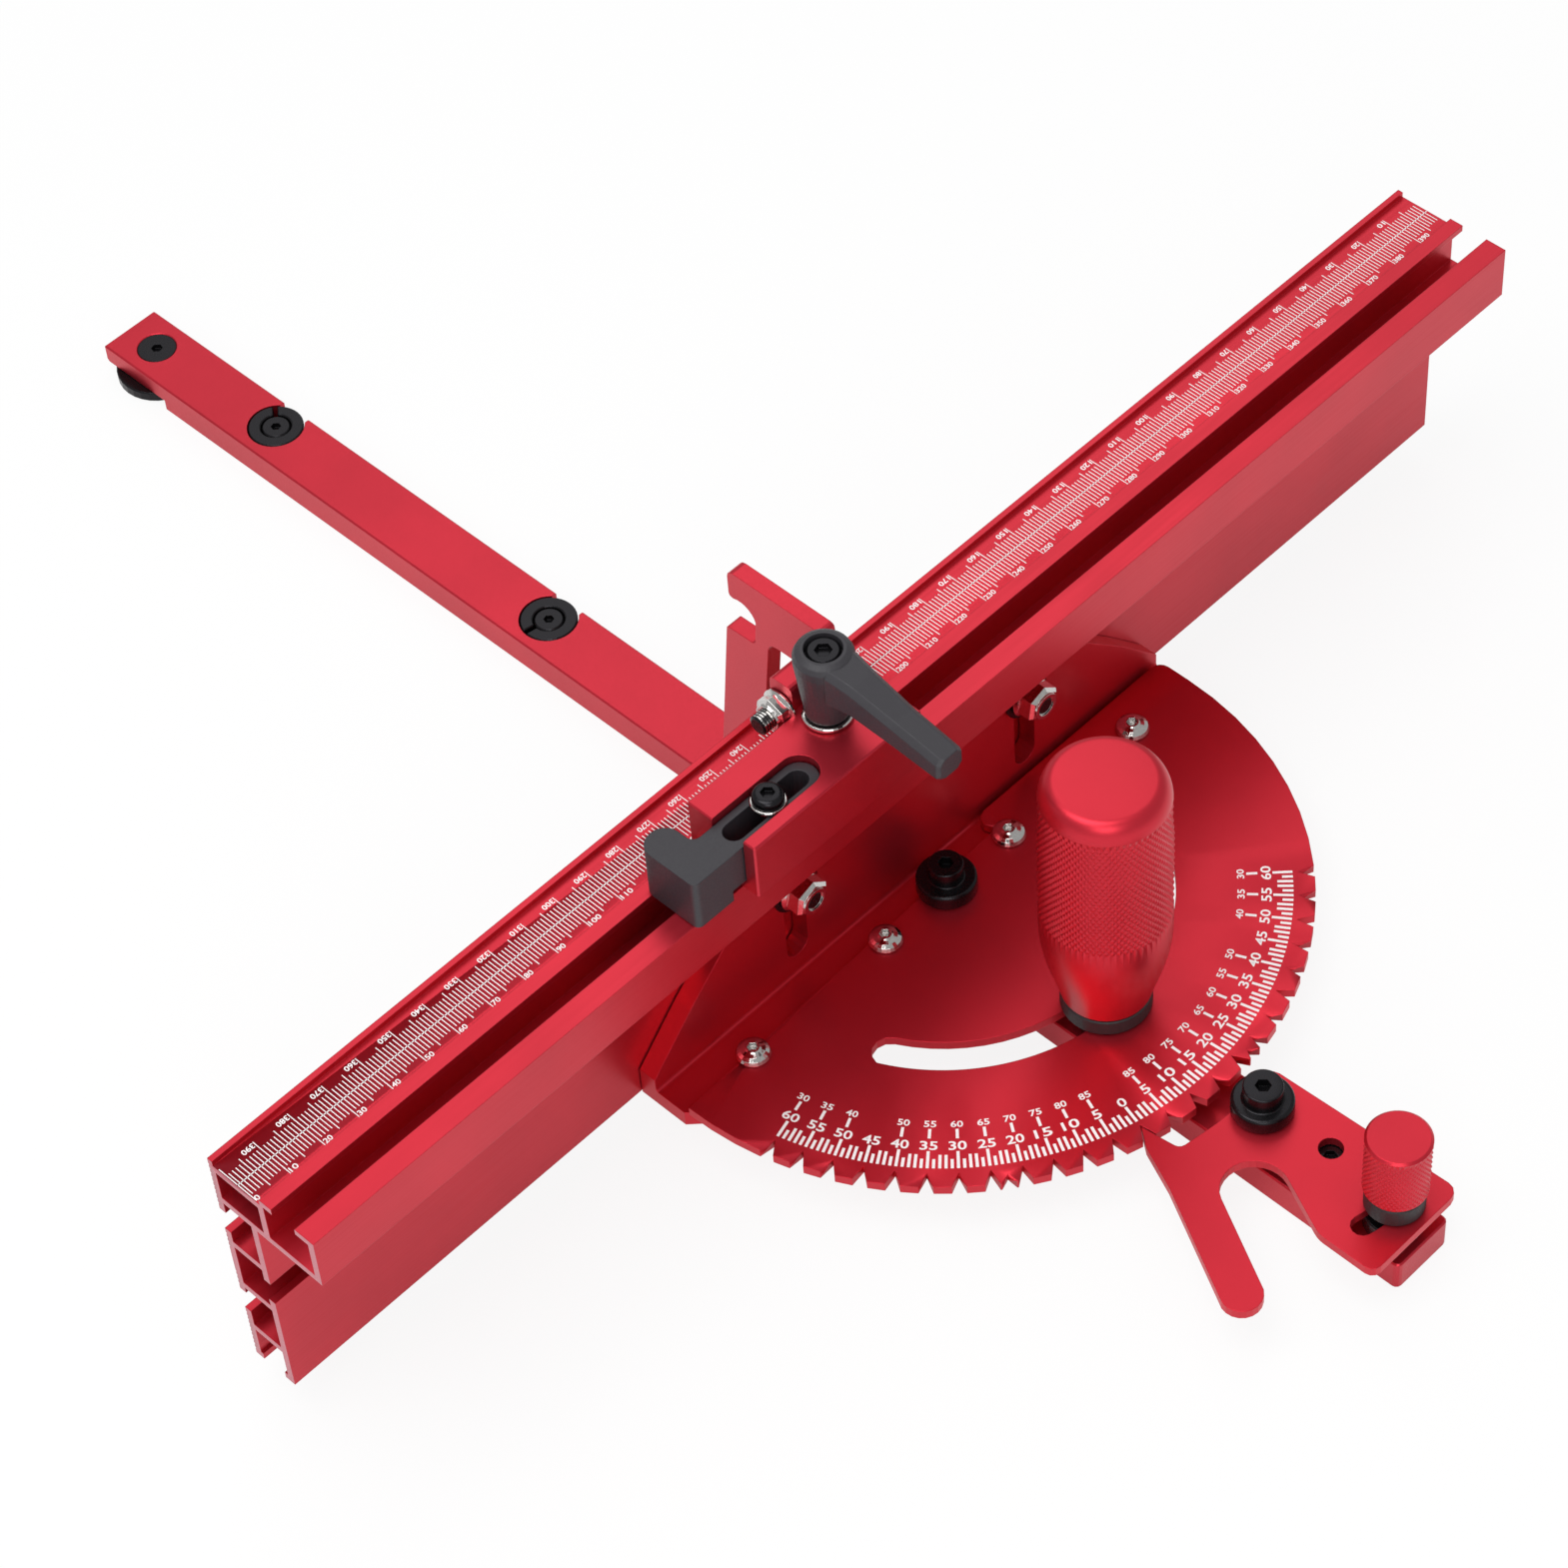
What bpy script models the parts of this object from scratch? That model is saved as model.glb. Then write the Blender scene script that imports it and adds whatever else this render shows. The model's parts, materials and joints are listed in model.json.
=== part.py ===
"""Table-saw miter gauge: guide bar, indexed protractor head, T-slot fence and flip stop.

Units are metres, +Z is up. The origin is on the head's pivot axis, level with the underside of the
guide bar. +Y runs along the bar towards the far end and +X along the fence.
"""

import math

import bmesh
import bpy
from mathutils import Vector

# Fits
SEAT_GAP = 0.0003
RUN_GAP = 0.0003
EDGE_BREAK = 0.0004

# Guide bar
BAR_WIDTH = 0.0180
BAR_HEIGHT = 0.0090
BAR_NEAR_OVERHANG = 0.0001
BAR_FAR = 0.3049
BAR_EDGE = 0.0007
BAR_FLOOR = 0.0012
TONGUE_LENGTH = 0.0240
TONGUE_THICKNESS = 0.0054
TONGUE_BEVEL = 0.0010
TEE_DISC_RADIUS = 0.0120
TEE_DISC_THICKNESS = 0.0030
END_SCREW_INSET = 0.0116
END_SCREW_HEAD_RADIUS = 0.0053
END_SCREW_HEAD_HEIGHT = 0.0026
END_SCREW_SHANK_RADIUS = 0.0025
EXPANDER_PLACES = (0.1410, 0.2463)
EXPANDER_OFFSET = 0.0015
EXPANDER_RADIUS = 0.0075
EXPANDER_THICKNESS = 0.0068
EXPANDER_SLOT_WIDTH = 0.0100
EXPANDER_SPLIT = 0.0012
EXPANDER_SPLIT_ANGLES = (170.0, 50.0)
EXPANDER_SCREW_RADIUS = 0.0039
EXPANDER_SCREW_SHANK = 0.0020

# Protractor head
PLATE_THICKNESS = 0.0026
PLATE_RADIUS = 0.0883
PLATE_BACK = 0.0095
PLATE_CORNER = 0.0030
SCALE_OFFSET = -15.3
NOTCH_STEP = 5.0
NOTCH_REACH = 60.0
NOTCH_EXTRA = 22.5
NOTCH_HALF_WIDTH = 0.00175
NOTCH_DEPTH = 0.0042
CLAMP_SLOT_RADIUS = 0.0512
CLAMP_SLOT_WIDTH = 0.0086
CLAMP_SLOT_ANGLE = 62.3

# Fence bracket
BRACKET_HALF = PLATE_RADIUS + 0.0003
FLANGE_THICKNESS = 0.0046
FLANGE_FRONT = 0.0080
FLANGE_CUT = 0.0094
LEAF_THICKNESS = 0.0050
LEAF_END_HEIGHT = 0.0087
LEAF_SHOULDER_X = BRACKET_HALF - 0.0133
LEAF_SHOULDER_HEIGHT = 0.0229
LEAF_TOP_X = BRACKET_HALF - 0.0356
LEAF_TOP_HEIGHT = 0.0440
LEAF_SLOT_X = 0.0400
LEAF_SLOT_WIDTH = 0.0072
LEAF_SLOT_LOW = 0.0105
BRACKET_FILLET = 0.0010
BRACKET_SCREW_X = (-0.0670, -0.0218, 0.0218, 0.0670)
BRACKET_SCREW_Y = -0.0003
BUTTON_HEAD_RADIUS = 0.0043
BUTTON_HEAD_HEIGHT = 0.0024
BUTTON_SHANK_RADIUS = 0.0020

# Fence extrusion
FENCE_LENGTH = 0.4000
FENCE_SHIFT = 0.0012
FENCE_WALL = 0.0020
FENCE_BODY_DEPTH = 0.0131
FENCE_HEIGHT = 0.0738
TRACK_DEPTH = 0.0210
TRACK_HEIGHT = 0.0152
TRACK_MOUTH_LOW = 0.0060
TRACK_MOUTH_WIDTH = 0.0075
LIP_THICKNESS = 0.0018
LAND_WIDTH = 0.0060
RIDGE_WIDTH = 0.0015
RIDGE_HEIGHT = 0.0015
SLOT_MOUTH = 0.0075
SLOT_LIP = 0.0035
BOTTOM_SLOT_DEPTH = 0.0112
RIB_PITCH = 0.0016
RIB_DEPTH = 0.0003

# Fence bolts
FENCE_BOLT_RADIUS = 0.0029
FENCE_BOLT_HEIGHT = 0.03625
FENCE_NUT_RADIUS = 0.0052
FENCE_NUT_HEIGHT = 0.0042
FENCE_WASHER_RADIUS = 0.0070
FENCE_WASHER_THICKNESS = 0.0010
SLOT_NUT_LENGTH = 0.0130
SLOT_NUT_WIDTH = 0.0120
SLOT_NUT_THICKNESS = 0.0040

# Pivot and index screws
PIVOT_SHANK_RADIUS = 0.0039
PIVOT_COLLAR_RADIUS = 0.0075
PIVOT_COLLAR_HEIGHT = 0.0040
PIVOT_HEAD_RADIUS = 0.0044
PIVOT_HEAD_HEIGHT = 0.0048
SOCKET_RADIUS = 0.0023
SOCKET_DEPTH = 0.0024

# Clamp handle
HANDLE_Y = -CLAMP_SLOT_RADIUS
HANDLE_STUD_RADIUS = 0.0037
HANDLE_STUD_REACH = 0.0300
HANDLE_WASHER_RADIUS = 0.0110
HANDLE_WASHER_THICKNESS = 0.0046
HANDLE_FOOT_RADIUS = 0.0109
HANDLE_GRIP_RADIUS = 0.0152
HANDLE_TAPER_HEIGHT = 0.0248
HANDLE_LENGTH = 0.0750
HANDLE_CROWN_RADIUS = 0.0110
HANDLE_CROWN_HEIGHT = 0.0075

# Index plate
INDEX_AXIS_Y = -(PLATE_RADIUS + 0.0109)
INDEX_RIM_GAP = 0.0063
INDEX_HALF_WIDTH = 0.0112
INDEX_END_Y = INDEX_AXIS_Y - 0.0480
INDEX_LEFT_X = -0.0181
INDEX_EYE = (-0.0184, INDEX_AXIS_Y - 0.0135)
INDEX_EYE_RADIUS = 0.0081
INDEX_LEVER_END = (-0.0419, INDEX_AXIS_Y - 0.0295)
INDEX_LEVER_RADIUS = 0.0051
INDEX_LEVER_LENGTH = 0.0314
INDEX_TRAVEL = 14.0
INDEX_PEEP = (0.0019, INDEX_AXIS_Y - 0.0189)
INDEX_PEEP_RADIUS = 0.0030
STOP_SCREW_RADIUS = 0.0022
STOP_SCREW_HEIGHT = 0.0015
LOCK_RADIUS = 0.0391
LOCK_SLOT_WIDTH = 0.0056
LOCK_STUD_RADIUS = 0.0024
LOCK_STUD_REACH = 0.0130
LOCK_WASHER_RADIUS = 0.00715
LOCK_WASHER_THICKNESS = 0.0054
LOCK_KNOB_RADIUS = 0.0076
LOCK_KNOB_HEIGHT = 0.0190
SPACER_RADIUS = 0.0070

# Flip stop
STOP_LEFT = -0.0694
STOP_RIGHT = -0.0155
STOP_FRONT = -0.0102
STOP_BACK = 0.0109
STOP_HEIGHT = 0.0170
STOP_KEY_DEPTH = 0.0014
GROOVE_WIDTH = 0.0098
GROOVE_CENTRE = -0.0018
GROOVE_FLOOR = 0.0030
GROOVE_END = -0.0418
EAR_LEFT = -0.0348
EAR_RIGHT = -0.0216
EAR_FRONT = 0.0114
EAR_BACK = 0.0184
EAR_HEIGHT = 0.0242
EAR_CHAMFER = 0.0015
ARM_THICKNESS = 0.0044
ARM_RELIEF = 0.0072
LEVER_X = -0.0303

# Clamp lever
LEVER_STUD_RADIUS = 0.0029
LEVER_WASHER_RADIUS = 0.0060
LEVER_WASHER_THICKNESS = 0.0012
LEVER_FOOT_RADIUS = 0.0052
LEVER_HUB_RADIUS = 0.0071
LEVER_HEIGHT = 0.0208
LEVER_RECESS_RADIUS = 0.0045
LEVER_RECESS_DEPTH = 0.0030
LEVER_REACH = 0.0382
LEVER_ARM_WIDTH = 0.0084
LEVER_ARM_DEPTH = 0.0085
LEVER_DROP = 0.0060

# Fine-adjust finger
FINGER_LEFT = -0.0846
FINGER_HEAD_WIDTH = 0.0090
FINGER_BACK = 0.0118
FINGER_ARM_WIDTH = 0.0092
FINGER_TOP = 0.0149
FINGER_SLOT_WIDTH = 0.0054
FINGER_SLOT_FROM = -0.0701
FINGER_SLOT_TO = -0.0446
FINGER_SCREW_X = -0.0565
FINGER_SCREW_RADIUS = 0.0022
FINGER_WASHER_RADIUS = 0.0043
FINGER_WASHER_THICKNESS = 0.0010
FINGER_HEAD_RADIUS = 0.0036
FINGER_HEAD_HEIGHT = 0.0022

# Flip arm
FLIP_AXIS_Y = 0.0150
FLIP_AXIS_HEIGHT = 0.0161
FLIP_BOLT_RADIUS = 0.0024
FLIP_EYE_RADIUS = 0.0065
FLIP_BEAM_TOP = 0.0131
FLIP_BEAM_BOTTOM = -0.0030
FLIP_BEAM_BACK = 0.0003
FLIP_TIP = 0.0298
FLIP_NOTCH = 0.0214
FLIP_HOLLOW_RADIUS = 0.0048
FLIP_SHOULDER = -0.0071
FLIP_LEG_INNER = 0.0176
FLIP_LEG_OUTER = 0.0310
FLIP_LEG_SLANT = 0.118
FLIP_LEG_REACH = 0.0560
FLIP_NUT_RADIUS = 0.0045
FLIP_NUT_HEIGHT = 0.0036
FLIP_STUD_REACH = 0.0040
FLIP_HEAD_RADIUS = 0.0044
FLIP_HEAD_HEIGHT = 0.0034

# Near end of the bar, level with the index plate
BAR_NEAR = BAR_NEAR_OVERHANG - INDEX_END_Y

# Levels that stack up from the table
BAR_TOP = BAR_HEIGHT
FLANGE_LOW = BAR_TOP + SEAT_GAP
FLANGE_TOP = FLANGE_LOW + FLANGE_THICKNESS
PLATE_LOW = FLANGE_TOP + SEAT_GAP
PLATE_TOP = PLATE_LOW + PLATE_THICKNESS
FENCE_LOW = BAR_TOP + SEAT_GAP + 0.0002
FENCE_TOP = FENCE_LOW + FENCE_HEIGHT

# Fence section, from the work face back to the operator's side
FENCE_LEFT = FENCE_SHIFT - FENCE_LENGTH / 2
FENCE_RIGHT = FENCE_SHIFT + FENCE_LENGTH / 2
LEAF_FRONT = 0.0108
LEAF_BACK = LEAF_FRONT + LEAF_THICKNESS
FENCE_OPERATOR = LEAF_BACK + SEAT_GAP
FENCE_WORK = FENCE_OPERATOR + FENCE_BODY_DEPTH
TRACK_OUT = FENCE_OPERATOR - TRACK_DEPTH
TRACK_LOW = FENCE_TOP + LIP_THICKNESS - TRACK_HEIGHT
TRACK_FLOOR = TRACK_LOW + FENCE_WALL
WEB_IN = TRACK_OUT + FENCE_WALL + 0.0144
MOUTH_LOW = TRACK_OUT + TRACK_MOUTH_LOW
MOUTH_HIGH = MOUTH_LOW + TRACK_MOUTH_WIDTH
MOUTH_CENTRE = (MOUTH_LOW + MOUTH_HIGH) / 2
LIP_TOP = FENCE_TOP + LIP_THICKNESS
FENCE_BOLT_Z = FENCE_LOW + FENCE_BOLT_HEIGHT

# Stop block levels
STOP_LOW = LIP_TOP + SEAT_GAP
STOP_TOP = STOP_LOW + STOP_HEIGHT
FLIP_AXIS_Z = STOP_LOW + FLIP_AXIS_HEIGHT
ARM_LEFT = EAR_RIGHT + SEAT_GAP

# Colours as linear RGB, roughness and metallic
RED_ANODISED = ("red_anodised", (0.52, 0.012, 0.020), 0.38, 0.85)
BLACK_OXIDE = ("black_oxide", (0.020, 0.020, 0.022), 0.45, 0.60)
BLACK_COATED = ("black_coated", (0.035, 0.035, 0.038), 0.55, 0.10)
POLISHED_STEEL = ("polished_steel", (0.62, 0.61, 0.60), 0.18, 1.00)
BLACK_NYLON = ("black_nylon", (0.018, 0.018, 0.018), 0.60, 0.00)


def clear_scene():
    """Remove every object of the open file."""
    for obj in list(bpy.data.objects):
        bpy.data.objects.remove(obj, do_unlink=True)


def material(name, look):
    """A Principled material of its own for one piece."""
    label, colour, roughness, metallic = look
    made = bpy.data.materials.new(f"{name}_{label}")
    made.use_nodes = True
    shader = made.node_tree.nodes["Principled BSDF"]
    shader.inputs["Base Color"].default_value = (*colour, 1.0)
    shader.inputs["Roughness"].default_value = roughness
    shader.inputs["Metallic"].default_value = metallic
    made.diffuse_color = (*colour, 1.0)
    return made


def axis_empty(name, place, parent=None):
    """An empty on a joint's axis, which carries the pieces that move with it."""
    empty = bpy.data.objects.new(name, None)
    bpy.context.scene.collection.objects.link(empty)
    empty.empty_display_size = 0.01
    attach(empty, place, parent)
    return empty


def place_of(obj):
    """Where an object's origin is in the gauge's frame."""
    place = Vector((0.0, 0.0, 0.0))
    while obj is not None:
        place += obj.location
        obj = obj.parent
    return place


def attach(obj, place, parent):
    """Put an object at a place in the gauge's frame, under a parent."""
    obj.parent = parent
    obj.location = Vector(place) - place_of(parent)


def piece(name, bm, look, place, parent=None, smooth=30.0):
    """Turn a mesh made in the gauge's frame into a named object with its origin at a place."""
    bmesh.ops.recalc_face_normals(bm, faces=bm.faces)
    bmesh.ops.translate(bm, verts=bm.verts, vec=-Vector(place))
    mesh = bpy.data.meshes.new(name)
    bm.to_mesh(mesh)
    bm.free()
    mesh.materials.append(material(name, look))
    mesh.shade_smooth()
    mesh.set_sharp_from_angle(angle=math.radians(smooth))
    obj = bpy.data.objects.new(name, mesh)
    bpy.context.scene.collection.objects.link(obj)
    attach(obj, place, parent)
    return obj


def boolean(obj, bm, label, operation="DIFFERENCE"):
    """Cut a hidden tool mesh from an object, or join it on."""
    bmesh.ops.recalc_face_normals(bm, faces=bm.faces)
    mesh = bpy.data.meshes.new(f"{obj.name}_{label}")
    bmesh.ops.translate(bm, verts=bm.verts, vec=-place_of(obj))
    bm.to_mesh(mesh)
    bm.free()
    tool = bpy.data.objects.new(f"{obj.name}_{label}", mesh)
    bpy.context.scene.collection.objects.link(tool)
    tool.parent = obj
    tool.hide_render = True
    tool.display_type = "WIRE"
    modifier = obj.modifiers.new(label, "BOOLEAN")
    modifier.operation = operation
    modifier.solver = "EXACT"
    modifier.object = tool
    return tool


def break_edges(obj, width=EDGE_BREAK, angle=40.0, segments=1):
    """Take the sharp corners off a machined piece."""
    bevel = obj.modifiers.new("edge_break", "BEVEL")
    bevel.width = width
    bevel.segments = segments
    bevel.limit_method = "ANGLE"
    bevel.angle_limit = math.radians(angle)
    bevel.harden_normals = False
    return bevel


def arc(centre, radius, start, end, steps):
    """Points along an arc, from one angle in degrees to another."""
    x, y = centre
    angles = [math.radians(start + (end - start) * i / steps) for i in range(steps + 1)]
    return [(x + radius * math.cos(a), y + radius * math.sin(a)) for a in angles]


def rounded(corners, steps=4):
    """An outline from corners given as x, y and the radius that rounds each."""
    points = []
    for i, (x, y, radius) in enumerate(corners):
        here = Vector((x, y))
        before = (Vector(corners[i - 1][:2]) - here).normalized()
        after = (Vector(corners[(i + 1) % len(corners)][:2]) - here).normalized()
        if radius <= 0.0:
            points.append((x, y))
            continue
        half = before.angle(after) / 2
        middle = here + (before + after).normalized() * (radius / math.sin(half))
        first = here + before * (radius / math.tan(half)) - middle
        last = here + after * (radius / math.tan(half)) - middle
        turn = first.angle_signed(last)
        for step in range(steps + 1):
            angle = -turn * step / steps
            cos, sin = math.cos(angle), math.sin(angle)
            points.append((middle.x + first.x * cos - first.y * sin, middle.y + first.x * sin + first.y * cos))
    return points


def circle(centre, radius, steps=32):
    """A closed ring of points."""
    return arc(centre, radius, 0.0, 360.0 * (steps - 1) / steps, steps - 1)


def slot(first, last, width, steps=8):
    """The outline of a straight slot with round ends."""
    way = Vector(last) - Vector(first)
    heading = math.degrees(math.atan2(way.y, way.x))
    ahead = arc(last, width / 2, heading - 90.0, heading + 90.0, steps)
    return ahead + arc(first, width / 2, heading + 90.0, heading + 270.0, steps)


def arc_slot(centre, radius, width, start, end, steps=16, cap=6):
    """The outline of a curved slot with round ends."""
    half = width / 2
    ends = [(centre[0] + radius * math.cos(math.radians(a)), centre[1] + radius * math.sin(math.radians(a)))
            for a in (start, end)]
    outline = arc(centre, radius + half, start, end, steps)
    outline += arc(ends[1], half, end, end + 180.0, cap)[1:-1]
    outline += arc(centre, radius - half, end, start, steps)
    outline += arc(ends[0], half, start + 180.0, start + 360.0, cap)[1:-1]
    return outline


def in_plan(u, v, w):
    """An outline drawn in X and Y, raised along Z."""
    return (u, v, w)


def in_section(u, v, w):
    """An outline drawn in Y and Z, drawn out along X."""
    return (w, u, v)


def in_elevation(u, v, w):
    """An outline drawn in X and Z, drawn out along Y."""
    return (u, w, v)


def prism(bm, outline, low, high, view=in_plan, holes=()):
    """Draw an outline out between two levels, with holes through it."""
    loops = [outline, *holes]
    rings = [[[bm.verts.new(view(u, v, w)) for u, v in loop] for loop in loops] for w in (low, high)]
    if holes:
        edges = [bm.edges.new((ring[i - 1], ring[i])) for ring in rings[0] for i in range(len(ring))]
        filled = bmesh.ops.triangle_fill(bm, use_beauty=True, use_dissolve=False, edges=edges)
        faces = [part for part in filled["geom"] if isinstance(part, bmesh.types.BMFace)]
        above = {a: b for low_ring, high_ring in zip(*rings) for a, b in zip(low_ring, high_ring)}
        for face in faces:
            bm.faces.new([above[vert] for vert in reversed(face.verts)])
    else:
        bm.faces.new(rings[0][0])
        bm.faces.new(list(reversed(rings[1][0])))
    for low_ring, high_ring in zip(*rings):
        for i in range(len(low_ring)):
            bm.faces.new((low_ring[i - 1], low_ring[i], high_ring[i], high_ring[i - 1]))
    return bm


def turned(bm, profile, centre, direction="Z", steps=32, turn=0.0):
    """Revolve a closed run of radius and height pairs about an axis through a centre."""
    rings = []
    for radius, height in profile:
        if radius == 0.0:
            rings.append([(0.0, 0.0, height)])
            continue
        angles = [math.radians(turn) + 2 * math.pi * i / steps for i in range(steps)]
        rings.append([(radius * math.cos(a), radius * math.sin(a), height) for a in angles])
    x, y, z = centre
    places = {
        "Z": lambda p: (x + p[0], y + p[1], z + p[2]),
        "Y": lambda p: (x + p[0], y + p[2], z - p[1]),
        "X": lambda p: (x + p[2], y + p[0], z + p[1]),
    }[direction]
    verts = [[bm.verts.new(places(p)) for p in ring] for ring in rings]
    closed = profile[0][0] > 0.0 and profile[-1][0] > 0.0
    pairs = list(zip(verts, verts[1:]))
    if closed:
        pairs.append((verts[-1], verts[0]))
    for low, high in pairs:
        for i in range(steps):
            if len(low) == 1 and len(high) == 1:
                continue
            if len(low) == 1:
                bm.faces.new((low[0], high[i], high[i - 1]))
            elif len(high) == 1:
                bm.faces.new((low[i - 1], low[i], high[0]))
            else:
                bm.faces.new((low[i - 1], low[i], high[i], high[i - 1]))
    return bm


def box(bm, low, high):
    """A plain block between two corners."""
    outline = [(low[0], low[1]), (high[0], low[1]), (high[0], high[1]), (low[0], high[1])]
    return prism(bm, outline, low[2], high[2])


def hexagon(centre, across_corners, turn=0.0):
    """Six corners on a circle."""
    return circle_from(centre, across_corners, 6, turn)


def circle_from(centre, radius, steps, turn):
    """A ring of points that starts at an angle in degrees."""
    return arc(centre, radius, turn, turn + 360.0 * (steps - 1) / steps, steps - 1)


def washer(name, centre, outer, inner, thickness, look, parent, direction="Z"):
    """A flat ring that starts at a centre and rises along its axis."""
    bm = bmesh.new()
    rim = min(0.0003, thickness / 4)
    profile = [
        (inner, 0.0),
        (outer - rim, 0.0),
        (outer, rim),
        (outer, thickness - rim),
        (outer - rim, thickness),
        (inner, thickness),
    ]
    turned(bm, profile, centre, direction)
    return piece(name, bm, look, centre, parent)


def scale_angle(reading):
    """The angle in the plan of a scale reading, in degrees from +X."""
    return reading + SCALE_OFFSET - 90.0


def guide_bar():
    """The flat bar that slides in the table's slot, with its thin far end, pockets and tapped holes."""
    half = BAR_WIDTH / 2
    corner = 0.0015
    plan = rounded([
        (-half, -BAR_NEAR, corner),
        (half, -BAR_NEAR, corner),
        (half, BAR_FAR, 0.0004),
        (-half, BAR_FAR, 0.0004),
    ], 3)
    bm = bmesh.new()
    prism(bm, plan, 0.0, BAR_HEIGHT)
    bar = piece("miter_bar", bm, RED_ANODISED, (0.0, 0.0, 0.0))
    break_edges(bar, BAR_EDGE)

    tools = bmesh.new()
    step = BAR_FAR - TONGUE_LENGTH
    under = BAR_HEIGHT - TONGUE_THICKNESS
    beyond = BAR_FAR + 0.005
    relief = [
        (step, -0.002),
        (beyond, -0.002),
        (beyond, under + TONGUE_BEVEL),
        (BAR_FAR, under + TONGUE_BEVEL),
        (BAR_FAR - TONGUE_BEVEL, under),
        (step, under),
    ]
    prism(tools, relief, -BAR_WIDTH, BAR_WIDTH, in_section)
    boolean(bar, tools, "tongue")

    pockets = bmesh.new()
    floor = BAR_HEIGHT - EXPANDER_THICKNESS - SEAT_GAP
    for y in EXPANDER_PLACES:
        radius = EXPANDER_RADIUS + SEAT_GAP
        reach = math.degrees(math.asin(EXPANDER_SLOT_WIDTH / 2 / radius))
        outline = arc((EXPANDER_OFFSET, y), radius, reach, 360.0 - reach, 28)
        outline += [(BAR_WIDTH, y - EXPANDER_SLOT_WIDTH / 2), (BAR_WIDTH, y + EXPANDER_SLOT_WIDTH / 2)]
        prism(pockets, outline, floor, BAR_HEIGHT + 0.005)
    boolean(bar, pockets, "pockets")

    holes = bmesh.new()
    for x, y, radius, low in bar_holes():
        turned(holes, [(0.0, low), (radius, low), (radius, BAR_HEIGHT + 0.006), (0.0, BAR_HEIGHT + 0.006)],
               (x, y, 0.0), steps=20)
    y = BAR_FAR - END_SCREW_INSET
    top = BAR_HEIGHT
    outer = END_SCREW_HEAD_RADIUS + SEAT_GAP
    inner = END_SCREW_SHANK_RADIUS + SEAT_GAP
    turned(holes, [(0.0, -0.003), (inner, -0.003), (inner, top - END_SCREW_HEAD_HEIGHT - SEAT_GAP),
                   (outer, top), (outer, top + 0.004), (0.0, top + 0.004)], (0.0, y, 0.0), steps=28)
    boolean(bar, holes, "holes")
    return bar


def bar_holes():
    """Places, radii and floors of the bar's straight holes. The pivot's is blind, the others go through."""
    x, y = INDEX_PEEP
    through = -0.003
    holes = [
        (0.0, 0.0, PIVOT_SHANK_RADIUS + SEAT_GAP, BAR_FLOOR),
        (0.0, HANDLE_Y, HANDLE_STUD_RADIUS + SEAT_GAP, through),
        (0.0, INDEX_AXIS_Y, PIVOT_SHANK_RADIUS + SEAT_GAP, through),
        (0.0, INDEX_AXIS_Y - LOCK_RADIUS, LOCK_STUD_RADIUS + SEAT_GAP, through),
        (x, y, STOP_SCREW_RADIUS * 0.7 + SEAT_GAP, through),
    ]
    shank = EXPANDER_SCREW_SHANK + SEAT_GAP
    return holes + [(EXPANDER_OFFSET, place, shank, through) for place in EXPANDER_PLACES]


def bar_fittings():
    """The disc and screws at the far end, and the two side expanders."""
    y = BAR_FAR - END_SCREW_INSET
    under = BAR_HEIGHT - TONGUE_THICKNESS
    inner = END_SCREW_SHANK_RADIUS + SEAT_GAP
    low = under - SEAT_GAP - TEE_DISC_THICKNESS
    washer("tee_slot_disc", (0.0, y, low), TEE_DISC_RADIUS, inner, TEE_DISC_THICKNESS, BLACK_OXIDE, None)

    bm = bmesh.new()
    top = BAR_HEIGHT - SEAT_GAP / 2
    shank = END_SCREW_SHANK_RADIUS
    profile = [(0.0, low), (shank, low), (shank, top - END_SCREW_HEAD_HEIGHT), (END_SCREW_HEAD_RADIUS, top), (0.0, top)]
    turned(bm, profile, (0.0, y, 0.0))
    screw = piece("end_screw", bm, BLACK_OXIDE, (0.0, y, top))
    socket(screw, (0.0, y, top), 0.0016, 0.0014)

    for index, place in enumerate(EXPANDER_PLACES, 1):
        floor = BAR_HEIGHT - EXPANDER_THICKNESS
        centre = (EXPANDER_OFFSET, place)
        inner = EXPANDER_SCREW_RADIUS + SEAT_GAP
        half = EXPANDER_SPLIT / 2
        split = EXPANDER_SPLIT_ANGLES[index - 1]
        outer_gap = math.degrees(half / EXPANDER_RADIUS)
        inner_gap = math.degrees(half / inner)
        outline = arc(centre, EXPANDER_RADIUS, split + outer_gap, split + 360.0 - outer_gap, 36)
        outline += arc(centre, inner, split + 360.0 - inner_gap, split + inner_gap, 24)
        bm = bmesh.new()
        prism(bm, outline, floor, BAR_HEIGHT)
        ring = piece(f"expander_ring_{index}", bm, BLACK_OXIDE, (*centre, floor))
        break_edges(ring, 0.0003, 50.0)

        bm = bmesh.new()
        shank = EXPANDER_SCREW_SHANK
        head = EXPANDER_SCREW_RADIUS
        top = BAR_HEIGHT - 0.0002
        profile = [
            (0.0, 0.0006),
            (shank, 0.0006),
            (shank, floor + 0.0002),
            (head, floor + 0.0016),
            (head, top - 0.0004),
            (head - 0.0004, top),
            (0.0, top),
        ]
        turned(bm, profile, (*centre, 0.0))
        screw = piece(f"expander_screw_{index}", bm, BLACK_OXIDE, (*centre, top))
        socket(screw, (*centre, top), 0.0014, 0.0016)


def socket(screw, top, radius=SOCKET_RADIUS, depth=SOCKET_DEPTH, direction="Z"):
    """A hexagon socket sunk in the end of a screw."""
    bm = bmesh.new()
    x, y, z = top
    if direction == "Z":
        prism(bm, hexagon((x, y), radius, 15.0), z - depth, z + depth)
    elif direction == "X":
        prism(bm, hexagon((y, z), radius), x - depth, x + depth, in_section)
    boolean(screw, bm, "socket")


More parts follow.
